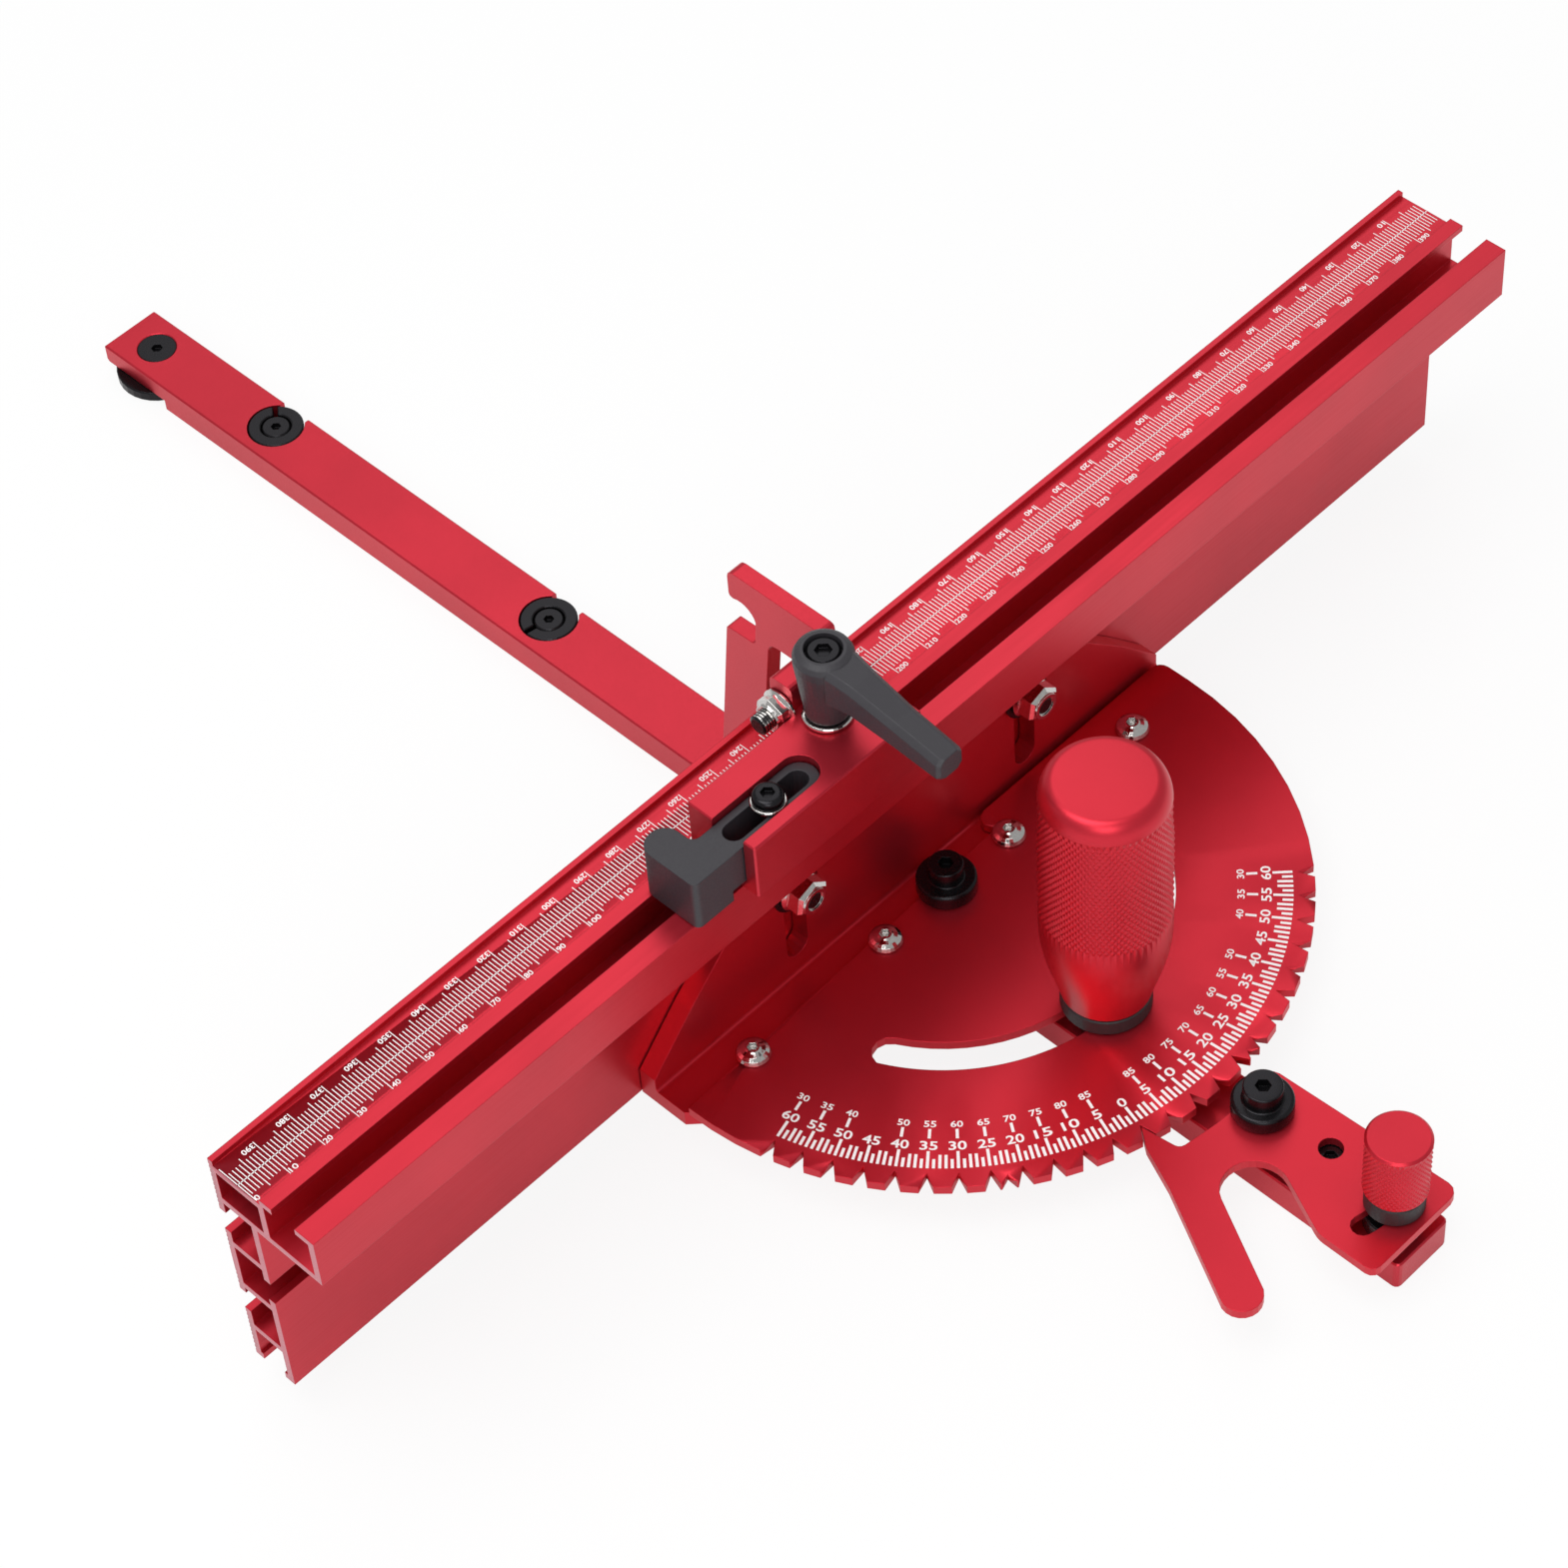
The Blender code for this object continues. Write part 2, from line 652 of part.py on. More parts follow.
def shoulder_screw(name, place_y, low):
    """A black pivot screw with a wide collar that lands on the plate, and a socket head above it."""
    bm = bmesh.new()
    collar_low = PLATE_TOP + RUN_GAP
    collar_top = collar_low + PIVOT_COLLAR_HEIGHT
    top = collar_top + PIVOT_HEAD_HEIGHT
    shank = PIVOT_SHANK_RADIUS
    collar = PIVOT_COLLAR_RADIUS
    head = PIVOT_HEAD_RADIUS
    profile = [
        (0.0, low),
        (shank, low),
        (shank, collar_low),
        (collar - 0.0005, collar_low),
        (collar, collar_low + 0.0005),
        (collar, collar_top - 0.0010),
        (collar - 0.0010, collar_top),
        (head + 0.0004, collar_top + 0.0001),
        (head, collar_top + 0.0008),
        (head, top - 0.0006),
        (head - 0.0006, top),
        (0.0, top),
    ]
    turned(bm, profile, (0.0, place_y, 0.0), steps=36)
    screw = piece(name, bm, BLACK_OXIDE, (0.0, place_y, top))
    socket(screw, (0.0, place_y, top))
    return screw


def spacer(name, place_y, bore):
    """A ring that holds a plate level above the bar."""
    height = PLATE_LOW - BAR_TOP - 2 * SEAT_GAP
    return washer(name, (0.0, place_y, BAR_TOP + SEAT_GAP), SPACER_RADIUS, bore, height, BLACK_OXIDE, None)


def protractor_plate(head):
    """The half-round plate with its indexing notches and its clamp slot."""
    radius = PLATE_RADIUS
    rim = []
    readings = [i * NOTCH_STEP for i in range(int(-NOTCH_REACH / NOTCH_STEP), int(NOTCH_REACH / NOTCH_STEP) + 1)]
    readings = sorted(readings + [-NOTCH_EXTRA, NOTCH_EXTRA])
    half = math.degrees(math.asin(NOTCH_HALF_WIDTH / radius))
    previous = -180.0
    for reading in readings:
        angle = scale_angle(reading)
        steps = max(1, round((angle - half - previous) / 5.0))
        rim += arc((0.0, 0.0), radius, previous, angle - half, steps)
        tip = math.radians(angle)
        depth = NOTCH_DEPTH
        if abs(reading % NOTCH_STEP) > 0.01:
            depth = NOTCH_DEPTH * 0.6
        rim.append(((radius - depth) * math.cos(tip), (radius - depth) * math.sin(tip)))
        previous = angle + half
    rim += arc((0.0, 0.0), radius, previous, 0.0, 8)
    back = rounded([(radius, 0.0, 0.0), (radius, PLATE_BACK, PLATE_CORNER), (-radius, PLATE_BACK, PLATE_CORNER)])
    outline = rim[1:] + back[1:] + [rim[0]]
    holes = [
        arc_slot((0.0, 0.0), CLAMP_SLOT_RADIUS, CLAMP_SLOT_WIDTH, -90.0 - CLAMP_SLOT_ANGLE, -90.0 + CLAMP_SLOT_ANGLE, 24),
        circle((0.0, 0.0), PIVOT_SHANK_RADIUS + RUN_GAP, 24),
    ]
    for x in BRACKET_SCREW_X:
        holes.append(circle((x, BRACKET_SCREW_Y), BUTTON_SHANK_RADIUS + SEAT_GAP, 12))
    bm = bmesh.new()
    prism(bm, outline, PLATE_LOW, PLATE_TOP, holes=holes)
    return piece("protractor_plate", bm, RED_ANODISED, (0.0, 0.0, PLATE_LOW), head)


def fence_bracket(head):
    """The angle that joins the plate to the fence: a flange, and a leaf with two slots."""
    half = BRACKET_HALF
    front = -FLANGE_FRONT
    low = FLANGE_LOW
    leaf_top = low + LEAF_TOP_HEIGHT
    section = [
        (front, low),
        (LEAF_BACK, low),
        (LEAF_BACK, leaf_top + 0.002),
        (LEAF_FRONT, leaf_top + 0.002),
        *arc((LEAF_FRONT - BRACKET_FILLET, FLANGE_TOP + BRACKET_FILLET), BRACKET_FILLET, 0.0, -90.0, 4),
        (front, FLANGE_TOP),
    ]
    bm = bmesh.new()
    prism(bm, section, -half, half, in_section)
    bracket = piece("fence_bracket", bm, RED_ANODISED, (0.0, LEAF_BACK, low), head)

    corners = bmesh.new()
    away = 0.004
    for side in (-1.0, 1.0):
        triangle = [
            (side * (half + away), front - away),
            (side * (half + away), front + FLANGE_CUT + away),
            (side * (half - FLANGE_CUT - away), front - away),
        ]
        prism(corners, triangle, low - away, FLANGE_TOP + away)
    boolean(bracket, corners, "corners")

    above = rounded([
        (half + 0.010, low + LEAF_END_HEIGHT, 0.0),
        (half, low + LEAF_END_HEIGHT, 0.0),
        (LEAF_SHOULDER_X, low + LEAF_SHOULDER_HEIGHT, 0.010),
        (LEAF_TOP_X, leaf_top, 0.006),
        (-LEAF_TOP_X, leaf_top, 0.006),
        (-LEAF_SHOULDER_X, low + LEAF_SHOULDER_HEIGHT, 0.010),
        (-half, low + LEAF_END_HEIGHT, 0.0),
        (-half - 0.010, low + LEAF_END_HEIGHT, 0.0),
        (-half - 0.010, leaf_top + 0.010, 0.0),
        (half + 0.010, leaf_top + 0.010, 0.0),
    ])
    tool = bmesh.new()
    prism(tool, above, LEAF_FRONT - 0.006, LEAF_BACK + 0.006, in_elevation)
    boolean(bracket, tool, "leaf_shape")

    openings = bmesh.new()
    for x in (-LEAF_SLOT_X, LEAF_SLOT_X):
        outline = slot((x, low + LEAF_SLOT_LOW + LEAF_SLOT_WIDTH / 2), (x, FENCE_BOLT_Z), LEAF_SLOT_WIDTH)
        prism(openings, outline, LEAF_FRONT - 0.004, LEAF_BACK + 0.004, in_elevation)
    holes = [(0.0, 0.0, PIVOT_SHANK_RADIUS + RUN_GAP)]
    holes += [(x, BRACKET_SCREW_Y, BUTTON_SHANK_RADIUS + SEAT_GAP) for x in BRACKET_SCREW_X]
    for x, y, radius in holes:
        prism(openings, circle((x, y), radius, 20), low - 0.004, FLANGE_TOP + 0.004)
    boolean(bracket, openings, "openings")
    return bracket


def bracket_screws(head):
    """Four button-head screws through the plate into the flange."""
    radius = BUTTON_HEAD_RADIUS
    low = PLATE_TOP + SEAT_GAP
    top = low + BUTTON_HEAD_HEIGHT
    for index, x in enumerate(BRACKET_SCREW_X, 1):
        profile = [(0.0, FLANGE_LOW + 0.0006), (BUTTON_SHANK_RADIUS, FLANGE_LOW + 0.0006), (BUTTON_SHANK_RADIUS, low),
                   (radius, low), (radius, low + 0.0003)]
        for angle in (25.0, 45.0, 62.0):
            bend = math.radians(angle)
            profile.append((radius * math.cos(bend), low + 0.0003 + (BUTTON_HEAD_HEIGHT - 0.0003) * math.sin(bend)))
        profile += [(radius * 0.36, top), (0.0, top)]
        bm = bmesh.new()
        turned(bm, profile, (x, BRACKET_SCREW_Y, 0.0), steps=24)
        screw = piece(f"bracket_screw_{index}", bm, POLISHED_STEEL, (x, BRACKET_SCREW_Y, low), head)
        socket(screw, (x, BRACKET_SCREW_Y, top), 0.0014, 0.0013)


def fence_section():
    """The outline of the fence extrusion in Y and Z, and the box cell inside it."""
    wall = FENCE_WALL
    low = FENCE_LOW
    top = FENCE_TOP
    back = FENCE_OPERATOR
    work = FENCE_WORK
    inner = back + wall
    outer = work - wall
    shelf_1 = low + BOTTOM_SLOT_DEPTH
    face_slot_1 = shelf_1 + wall + 0.0052
    floor_2 = face_slot_1 + SLOT_MOUTH + 0.0020
    back_slot = FENCE_BOLT_Z - SLOT_MOUTH / 2
    shelf_2 = back_slot + SLOT_MOUTH + 0.0037
    face_slot_2 = shelf_2 + wall + SLOT_LIP
    deck = TRACK_LOW
    bottom_front = back + 0.0031
    bottom_back = work - 0.0027
    land_low = (face_slot_1 + SLOT_MOUTH + face_slot_2 - LAND_WIDTH) / 2
    land_high = land_low + LAND_WIDTH

    def ribbed(start, end):
        """Fine ribs along the work face between two heights."""
        count = max(1, int((end - start) / RIB_PITCH) - 1)
        margin = (end - start - count * RIB_PITCH) / 2
        points = []
        for i in range(count):
            z = start + margin + i * RIB_PITCH
            points += [(work, z + RIB_PITCH * 0.25), (work - RIB_DEPTH, z + RIB_PITCH * 0.5), (work, z + RIB_PITCH * 0.75)]
        return points

    outline = [
        (back, low),
        (bottom_front, low),
        (bottom_front, low + wall),
        (inner, low + wall),
        (inner, shelf_1),
        (outer, shelf_1),
        (outer, low + wall),
        (bottom_back, low + wall),
        (bottom_back, low),
        (work, low),
        *ribbed(low, face_slot_1),
        (work, face_slot_1),
        (outer, face_slot_1),
        (outer, shelf_1 + wall),
        (inner, shelf_1 + wall),
        (inner, floor_2),
        (outer, floor_2),
        (outer, face_slot_1 + SLOT_MOUTH),
        (work, face_slot_1 + SLOT_MOUTH),
        *ribbed(face_slot_1 + SLOT_MOUTH, land_low),
        *ribbed(land_high, face_slot_2),
        (work, face_slot_2),
        (outer, face_slot_2),
        (outer, shelf_2 + wall),
        (inner, shelf_2 + wall),
        (inner, deck),
        (outer, deck),
        (outer, face_slot_2 + SLOT_MOUTH),
        (work, face_slot_2 + SLOT_MOUTH),
        *ribbed(face_slot_2 + SLOT_MOUTH, top + RIDGE_HEIGHT),
        (work, top + RIDGE_HEIGHT),
        (work - RIDGE_WIDTH, top + RIDGE_HEIGHT),
        (work - RIDGE_WIDTH, top),
        (WEB_IN + wall, top),
        (WEB_IN + wall, LIP_TOP),
        (MOUTH_HIGH, LIP_TOP),
        (MOUTH_HIGH, top),
        (WEB_IN, top),
        (WEB_IN, TRACK_FLOOR),
        (TRACK_OUT + wall, TRACK_FLOOR),
        (TRACK_OUT + wall, top),
        (MOUTH_LOW, top),
        (MOUTH_LOW, LIP_TOP),
        (TRACK_OUT, LIP_TOP),
        (TRACK_OUT, deck),
        (back, deck),
        (back, back_slot + SLOT_MOUTH),
        (inner, back_slot + SLOT_MOUTH),
        (inner, shelf_2),
        (outer, shelf_2),
        (outer, floor_2 + wall),
        (inner, floor_2 + wall),
        (inner, back_slot),
        (back, back_slot),
    ]
    cell = [
        (WEB_IN + wall, TRACK_FLOOR),
        (outer, TRACK_FLOOR),
        (outer, top - wall),
        (WEB_IN + wall, top - wall),
    ]
    return outline, cell


def fence_rail(fence):
    """The extruded fence with its T-slots, stop track and scale ledge."""
    outline, cell = fence_section()
    bm = bmesh.new()
    prism(bm, outline, FENCE_LEFT, FENCE_RIGHT, in_section, [cell])
    return piece("fence_rail", bm, RED_ANODISED, (FENCE_SHIFT, FENCE_WORK, FENCE_LOW), fence)


def fence_bolts(head):
    """Two T-bolts with washers and nuts that hold the fence against the leaf."""
    z = FENCE_BOLT_Z
    for side, x in (("left", -LEAF_SLOT_X), ("right", LEAF_SLOT_X)):
        washer_back = LEAF_FRONT - SEAT_GAP
        washer_front = washer_back - FENCE_WASHER_THICKNESS
        washer(f"fence_washer_{side}", (x, washer_front, z), FENCE_WASHER_RADIUS, FENCE_BOLT_RADIUS + SEAT_GAP,
               FENCE_WASHER_THICKNESS, BLACK_OXIDE, head, "Y")

        nut_back = washer_front - SEAT_GAP
        nut_front = nut_back - FENCE_NUT_HEIGHT
        stud_front = nut_front - 0.0008
        bore = FENCE_BOLT_RADIUS + SEAT_GAP
        bm = bmesh.new()
        prism(bm, hexagon((x, z), FENCE_NUT_RADIUS), nut_front, nut_back, in_elevation, [circle((x, z), bore, 20)])
        nut = piece(f"fence_nut_{side}", bm, POLISHED_STEEL, (x, nut_back, z), head)
        break_edges(nut, EDGE_BREAK, 50.0)

        inside = FENCE_OPERATOR + FENCE_WALL + SEAT_GAP
        back = inside + SLOT_NUT_THICKNESS
        bm = bmesh.new()
        length = SLOT_NUT_LENGTH / 2
        width = SLOT_NUT_WIDTH / 2
        box(bm, (x - length, inside, z - width), (x + length, back, z + width))
        bolt = piece(f"fence_bolt_{side}", bm, POLISHED_STEEL, (x, inside, z), head)
        shank = bmesh.new()
        radius = FENCE_BOLT_RADIUS
        turned(shank, [(0.0, stud_front), (radius, stud_front), (radius, inside + 0.001), (0.0, inside + 0.001)],
               (x, 0.0, z), "Y", steps=20)
        boolean(bolt, shank, "shank", "UNION")


def clamp_handle(handle):
    """The turned grip on its stud, with the washer it presses on the plate."""
    low = PLATE_TOP + RUN_GAP
    bore = HANDLE_STUD_RADIUS + SEAT_GAP
    centre = (0.0, HANDLE_Y, low)
    washer("handle_washer", centre, HANDLE_WASHER_RADIUS, bore, HANDLE_WASHER_THICKNESS, BLACK_NYLON, None)

    foot = low + HANDLE_WASHER_THICKNESS + SEAT_GAP
    top = foot + HANDLE_LENGTH
    grip = HANDLE_GRIP_RADIUS
    base = HANDLE_FOOT_RADIUS
    profile = [(bore, foot), (base - 0.0004, foot), (base, foot + 0.0005)]
    for share in (0.15, 0.5, 0.72, 0.88, 1.0):
        swell = math.sin(math.radians(90.0 * share)) ** 1.25
        profile.append((base + (grip - base) * swell, foot + HANDLE_TAPER_HEIGHT * share))
    for angle in (0.0, 22.5, 45.0, 67.5, 90.0):
        bend = math.radians(angle)
        radius = HANDLE_CROWN_RADIUS + (grip - HANDLE_CROWN_RADIUS) * math.cos(bend)
        profile.append((radius, top - HANDLE_CROWN_HEIGHT * (1.0 - math.sin(bend))))
    well = foot + HANDLE_STUD_REACH + SEAT_GAP
    profile = [(0.0, well), (bore, well), *profile, (0.0, top + 0.0003)]
    bm = bmesh.new()
    turned(bm, profile, (0.0, HANDLE_Y, 0.0), steps=48)
    piece("clamp_handle", bm, RED_ANODISED, (0.0, HANDLE_Y, foot), handle)

    bm = bmesh.new()
    radius = HANDLE_STUD_RADIUS
    turned(bm, [(0.0, 0.0006), (radius, 0.0006), (radius, foot + HANDLE_STUD_REACH), (0.0, foot + HANDLE_STUD_REACH)],
           (0.0, HANDLE_Y, 0.0), steps=24)
    piece("handle_stud", bm, POLISHED_STEEL, (0.0, HANDLE_Y, 0.0))
    spacer("handle_spacer", HANDLE_Y, bore)


def index_outline():
    """The index plate's outline: a tooth for the notches, a release lever and the lock's foot."""
    slope = NOTCH_HALF_WIDTH / NOTCH_DEPTH
    tip = PLATE_RADIUS - NOTCH_DEPTH + RUN_GAP * math.hypot(1.0, slope) / slope
    shoulder = PLATE_RADIUS + 0.0022
    half = (shoulder - tip) * slope
    ray = math.radians(scale_angle(0.0))
    along = Vector((math.cos(ray), math.sin(ray)))
    across = Vector((-along.y, along.x))
    apex = along * tip
    right = along * shoulder + across * half
    left = along * shoulder - across * half

    rim_radius = PLATE_RADIUS + INDEX_RIM_GAP
    rim = arc((0.0, 0.0), rim_radius, -101.2, -84.0, 6)
    end = Vector(INDEX_LEVER_END)
    eye = Vector(INDEX_EYE)
    heading = math.degrees(math.atan2(end.y - eye.y - 0.0040, end.x - eye.x + 0.0080))
    hollow = arc(eye, INDEX_EYE_RADIUS, -24.0, 150.0, 14)
    lever_end = arc(end, INDEX_LEVER_RADIUS, heading + 90.0, heading - 90.0, 10)
    elbow = Vector(lever_end[-1]) + (Vector(lever_end[0]) - Vector(hollow[-1])).normalized() * -INDEX_LEVER_LENGTH
    corners = [
        (*apex, 0.0),
        (*right, 0.0),
        (right.x + 0.0006, -rim_radius + 0.0022, 0.0020),
        *[(x, y, 0.0) for x, y in rim],
        (INDEX_HALF_WIDTH - 0.0008, -rim_radius - 0.0010, 0.0),
        (INDEX_HALF_WIDTH + 0.0012, INDEX_END_Y, 0.0030),
        (INDEX_LEFT_X, INDEX_END_Y, 0.0025),
        (INDEX_LEFT_X, INDEX_END_Y + 0.0162, 0.0080),
        *[(x, y, 0.0) for x, y in hollow],
        *[(x, y, 0.0) for x, y in lever_end],
        (*elbow, 0.0040),
        (*left, 0.0),
    ]
    return rounded(corners, 3)


def index_plate(index):
    """The flat index plate with its lock slot."""
    centre = (0.0, INDEX_AXIS_Y)
    holes = [
        circle(centre, PIVOT_SHANK_RADIUS + RUN_GAP, 24),
        circle(INDEX_PEEP, INDEX_PEEP_RADIUS, 20),
        arc_slot(centre, LOCK_RADIUS, LOCK_SLOT_WIDTH, -90.0 - INDEX_TRAVEL - 0.5, -90.0 + 0.5, 6),
    ]
    bm = bmesh.new()
    prism(bm, index_outline(), PLATE_LOW, PLATE_TOP, holes=holes)
    return piece("index_plate", bm, RED_ANODISED, (0.0, INDEX_AXIS_Y, PLATE_LOW), index)


def index_lock(knob):
    """The stud, washer and knurled knob that lock the index plate, and the small screw beside them."""
    y = INDEX_AXIS_Y - LOCK_RADIUS
    low = PLATE_TOP + RUN_GAP
    bore = LOCK_STUD_RADIUS + SEAT_GAP
    washer("lock_washer", (0.0, y, low), LOCK_WASHER_RADIUS, bore, LOCK_WASHER_THICKNESS, BLACK_NYLON, None)
    foot = low + LOCK_WASHER_THICKNESS + SEAT_GAP
    top = foot + LOCK_KNOB_HEIGHT
    radius = LOCK_KNOB_RADIUS
    well = foot + LOCK_STUD_REACH + SEAT_GAP
    profile = [
        (0.0, well),
        (bore, well),
        (bore, foot),
        (radius - 0.0010, foot),
        (radius, foot + 0.0008),
        (radius, top - 0.0012),
        (radius - 0.0004, top - 0.0004),
        (radius - 0.0012, top),
        (0.0, top),
    ]
    bm = bmesh.new()
    turned(bm, profile, (0.0, y, 0.0), steps=40)
    piece("lock_knob", bm, RED_ANODISED, (0.0, y, foot), knob)

    bm = bmesh.new()
    stud = LOCK_STUD_RADIUS
    reach = foot + LOCK_STUD_REACH
    turned(bm, [(0.0, 0.0006), (stud, 0.0006), (stud, reach), (0.0, reach)], (0.0, y, 0.0), steps=20)
    piece("lock_stud", bm, POLISHED_STEEL, (0.0, y, 0.0))
    spacer("lock_spacer", y, bore)

    x, y = INDEX_PEEP
    head = STOP_SCREW_RADIUS
    low = BAR_TOP + SEAT_GAP
    high = low + STOP_SCREW_HEIGHT
    bm = bmesh.new()
    turned(bm, [(0.0, 0.002), (head * 0.7, 0.002), (head * 0.7, low), (head, low), (head, high - 0.0004),
                (head - 0.0004, high), (0.0, high)], (x, y, 0.0), steps=20)
    screw = piece("index_stop_screw", bm, POLISHED_STEEL, (x, y, low))
    socket(screw, (x, y, high), 0.0011, 0.0010)


def stop_block(stop):
    """The block that slides on the track: a groove for the finger, a key below and an ear behind."""
    relief = EAR_RIGHT - SEAT_GAP
    plan = [
        (STOP_LEFT, STOP_FRONT),
        (STOP_RIGHT, STOP_FRONT),
        (STOP_RIGHT, ARM_RELIEF),
        (relief, ARM_RELIEF),
        (relief, STOP_BACK),
        (STOP_LEFT, STOP_BACK),
    ]
    bm = bmesh.new()
    prism(bm, plan, STOP_LOW, STOP_TOP)
    block = piece("stop_block", bm, RED_ANODISED, (LEVER_X, MOUTH_CENTRE, STOP_LOW), stop)
    break_edges(block, EDGE_BREAK, 50.0)

    ear = rounded([
        (STOP_BACK - 0.003, STOP_LOW, 0.0),
        (EAR_BACK, STOP_LOW, EAR_CHAMFER),
        (EAR_BACK, STOP_LOW + EAR_HEIGHT, EAR_CHAMFER),
        (EAR_FRONT, STOP_LOW + EAR_HEIGHT, EAR_CHAMFER),
        (EAR_FRONT, STOP_TOP, 0.0),
        (STOP_BACK - 0.003, STOP_TOP, 0.0),
    ], 3)
    tool = bmesh.new()
    prism(tool, ear, EAR_LEFT, EAR_RIGHT, in_section)
    boolean(block, tool, "ear", "UNION")

    key = bmesh.new()
    side = RUN_GAP
    box(key, (STOP_LEFT + 0.002, MOUTH_LOW + side, STOP_LOW - STOP_KEY_DEPTH),
        (STOP_RIGHT - 0.002, MOUTH_HIGH - side, STOP_LOW + 0.001))
    boolean(block, key, "key", "UNION")

    groove = bmesh.new()
    half = GROOVE_WIDTH / 2
    end = GROOVE_END - half
    outline = [(STOP_LEFT - 0.005, GROOVE_CENTRE - half), *arc((end, GROOVE_CENTRE), half, -90.0, 90.0, 12),
               (STOP_LEFT - 0.005, GROOVE_CENTRE + half)]
    prism(groove, outline, STOP_LOW + GROOVE_FLOOR, STOP_TOP + 0.005)
    boolean(block, groove, "groove")

    holes = bmesh.new()
    radius = LEVER_STUD_RADIUS + SEAT_GAP
    turned(holes, [(0.0, STOP_LOW - 0.005), (radius, STOP_LOW - 0.005), (radius, STOP_TOP + 0.005), (0.0, STOP_TOP + 0.005)],
           (LEVER_X, MOUTH_CENTRE, 0.0), steps=20)
    radius = FINGER_SCREW_RADIUS + SEAT_GAP
    deep = STOP_LOW + GROOVE_FLOOR + 0.003
    turned(holes, [(0.0, STOP_LOW - 0.005), (radius, STOP_LOW - 0.005), (radius, deep), (0.0, deep)],
           (FINGER_SCREW_X, GROOVE_CENTRE, 0.0), steps=16)
    radius = FLIP_BOLT_RADIUS + SEAT_GAP
    turned(holes, [(0.0, EAR_LEFT - 0.004), (radius, EAR_LEFT - 0.004), (radius, EAR_RIGHT + 0.004), (0.0, EAR_RIGHT + 0.004)],
           (0.0, FLIP_AXIS_Y, FLIP_AXIS_Z), "X", steps=16)
    boolean(block, holes, "holes")
    return block


def track_nut(stop):
    """The T-nut in the track, with the stud that the lever draws up."""
    top = FENCE_TOP - SEAT_GAP
    low = top - SLOT_NUT_THICKNESS
    front = TRACK_OUT + FENCE_WALL + RUN_GAP * 3
    back = WEB_IN - RUN_GAP * 3
    bm = bmesh.new()
    box(bm, (LEVER_X - SLOT_NUT_LENGTH / 2, front, low), (LEVER_X + SLOT_NUT_LENGTH / 2, back, top))
    nut = piece("clamp_tee_bolt", bm, POLISHED_STEEL, (LEVER_X, MOUTH_CENTRE, low), stop)
    shank = bmesh.new()
    radius = LEVER_STUD_RADIUS
    high = STOP_TOP + LEVER_WASHER_THICKNESS + LEVER_HEIGHT - LEVER_RECESS_DEPTH - 0.004
    turned(shank, [(0.0, low + 0.001), (radius, low + 0.001), (radius, high), (0.0, high)],
           (LEVER_X, MOUTH_CENTRE, 0.0), steps=20)
    boolean(nut, shank, "shank", "UNION")
    washer("lever_washer", (LEVER_X, MOUTH_CENTRE, STOP_TOP + SEAT_GAP), LEVER_WASHER_RADIUS, radius + SEAT_GAP,
           LEVER_WASHER_THICKNESS, POLISHED_STEEL, stop)


def clamp_lever(lever):
    """The clamp lever: a tapered hub with a screw in its top, and an arm towards the operator."""
    low = STOP_TOP + LEVER_WASHER_THICKNESS + 2 * SEAT_GAP
    top = low + LEVER_HEIGHT
    bore = LEVER_STUD_RADIUS + SEAT_GAP
    shelf = top - LEVER_RECESS_DEPTH
    hub = LEVER_HUB_RADIUS
    foot = LEVER_FOOT_RADIUS
    recess = LEVER_RECESS_RADIUS
    well = shelf - 0.0030
    profile = [
        (0.0, well),
        (bore, well),
        (bore, low),
        (foot - 0.0003, low),
        (foot, low + 0.0004),
        (foot + (hub - foot) * 0.55, low + LEVER_HEIGHT * 0.45),
        (hub, low + LEVER_HEIGHT * 0.80),
        (hub, top - 0.0020),
        (hub - 0.0006, top - 0.0008),
        (hub - 0.0018, top),
        (recess, top),
        (recess, shelf),
        (0.0, shelf),
    ]
    bm = bmesh.new()
    centre = (LEVER_X, MOUTH_CENTRE, 0.0)
    turned(bm, profile, centre, steps=36)
    made = piece("clamp_lever", bm, BLACK_COATED, (LEVER_X, MOUTH_CENTRE, low), lever)

    tool = bmesh.new()
    stations = [
        (0.0052, 1.25, 0.0, 1.30),
        (0.0120, 1.08, 0.18, 1.10),
        (0.0240, 0.95, 0.62, 0.95),
        (LEVER_REACH - 0.0010, 0.92, 1.0, 0.82),
        (LEVER_REACH, 0.80, 1.03, 0.70),
    ]
    rings = []
    for reach, wide, drop, deep in stations:
        half = LEVER_ARM_WIDTH * wide / 2
        high = top - 0.0008 - LEVER_DROP * drop
        depth = LEVER_ARM_DEPTH * deep
        chamfer = 0.0014
        y = MOUTH_CENTRE - reach
        ring = [
            (-half + chamfer, high),
            (half - chamfer, high),
            (half, high - chamfer),
            (half, high - depth + chamfer),
            (half - chamfer, high - depth),
            (-half + chamfer, high - depth),
            (-half, high - depth + chamfer),
            (-half, high - chamfer),
        ]
        rings.append([tool.verts.new((LEVER_X + u, y, w)) for u, w in ring])
    for near, far in zip(rings, rings[1:]):
        for i in range(len(near)):
            tool.faces.new((near[i - 1], near[i], far[i], far[i - 1]))
    tool.faces.new(rings[0])
    tool.faces.new(list(reversed(rings[-1])))
    boolean(made, tool, "arm", "UNION")

    bm = bmesh.new()
    head = recess - 0.0005
    base = shelf + SEAT_GAP
    high = top - 0.0006
    turned(bm, [(0.0, base), (head, base), (head, high - 0.0005), (head - 0.0005, high), (0.0, high)], centre, steps=28)
    screw = piece("lever_screw", bm, BLACK_OXIDE, (LEVER_X, MOUTH_CENTRE, base), lever)
    socket(screw, (LEVER_X, MOUTH_CENTRE, high), 0.0021, 0.0014)


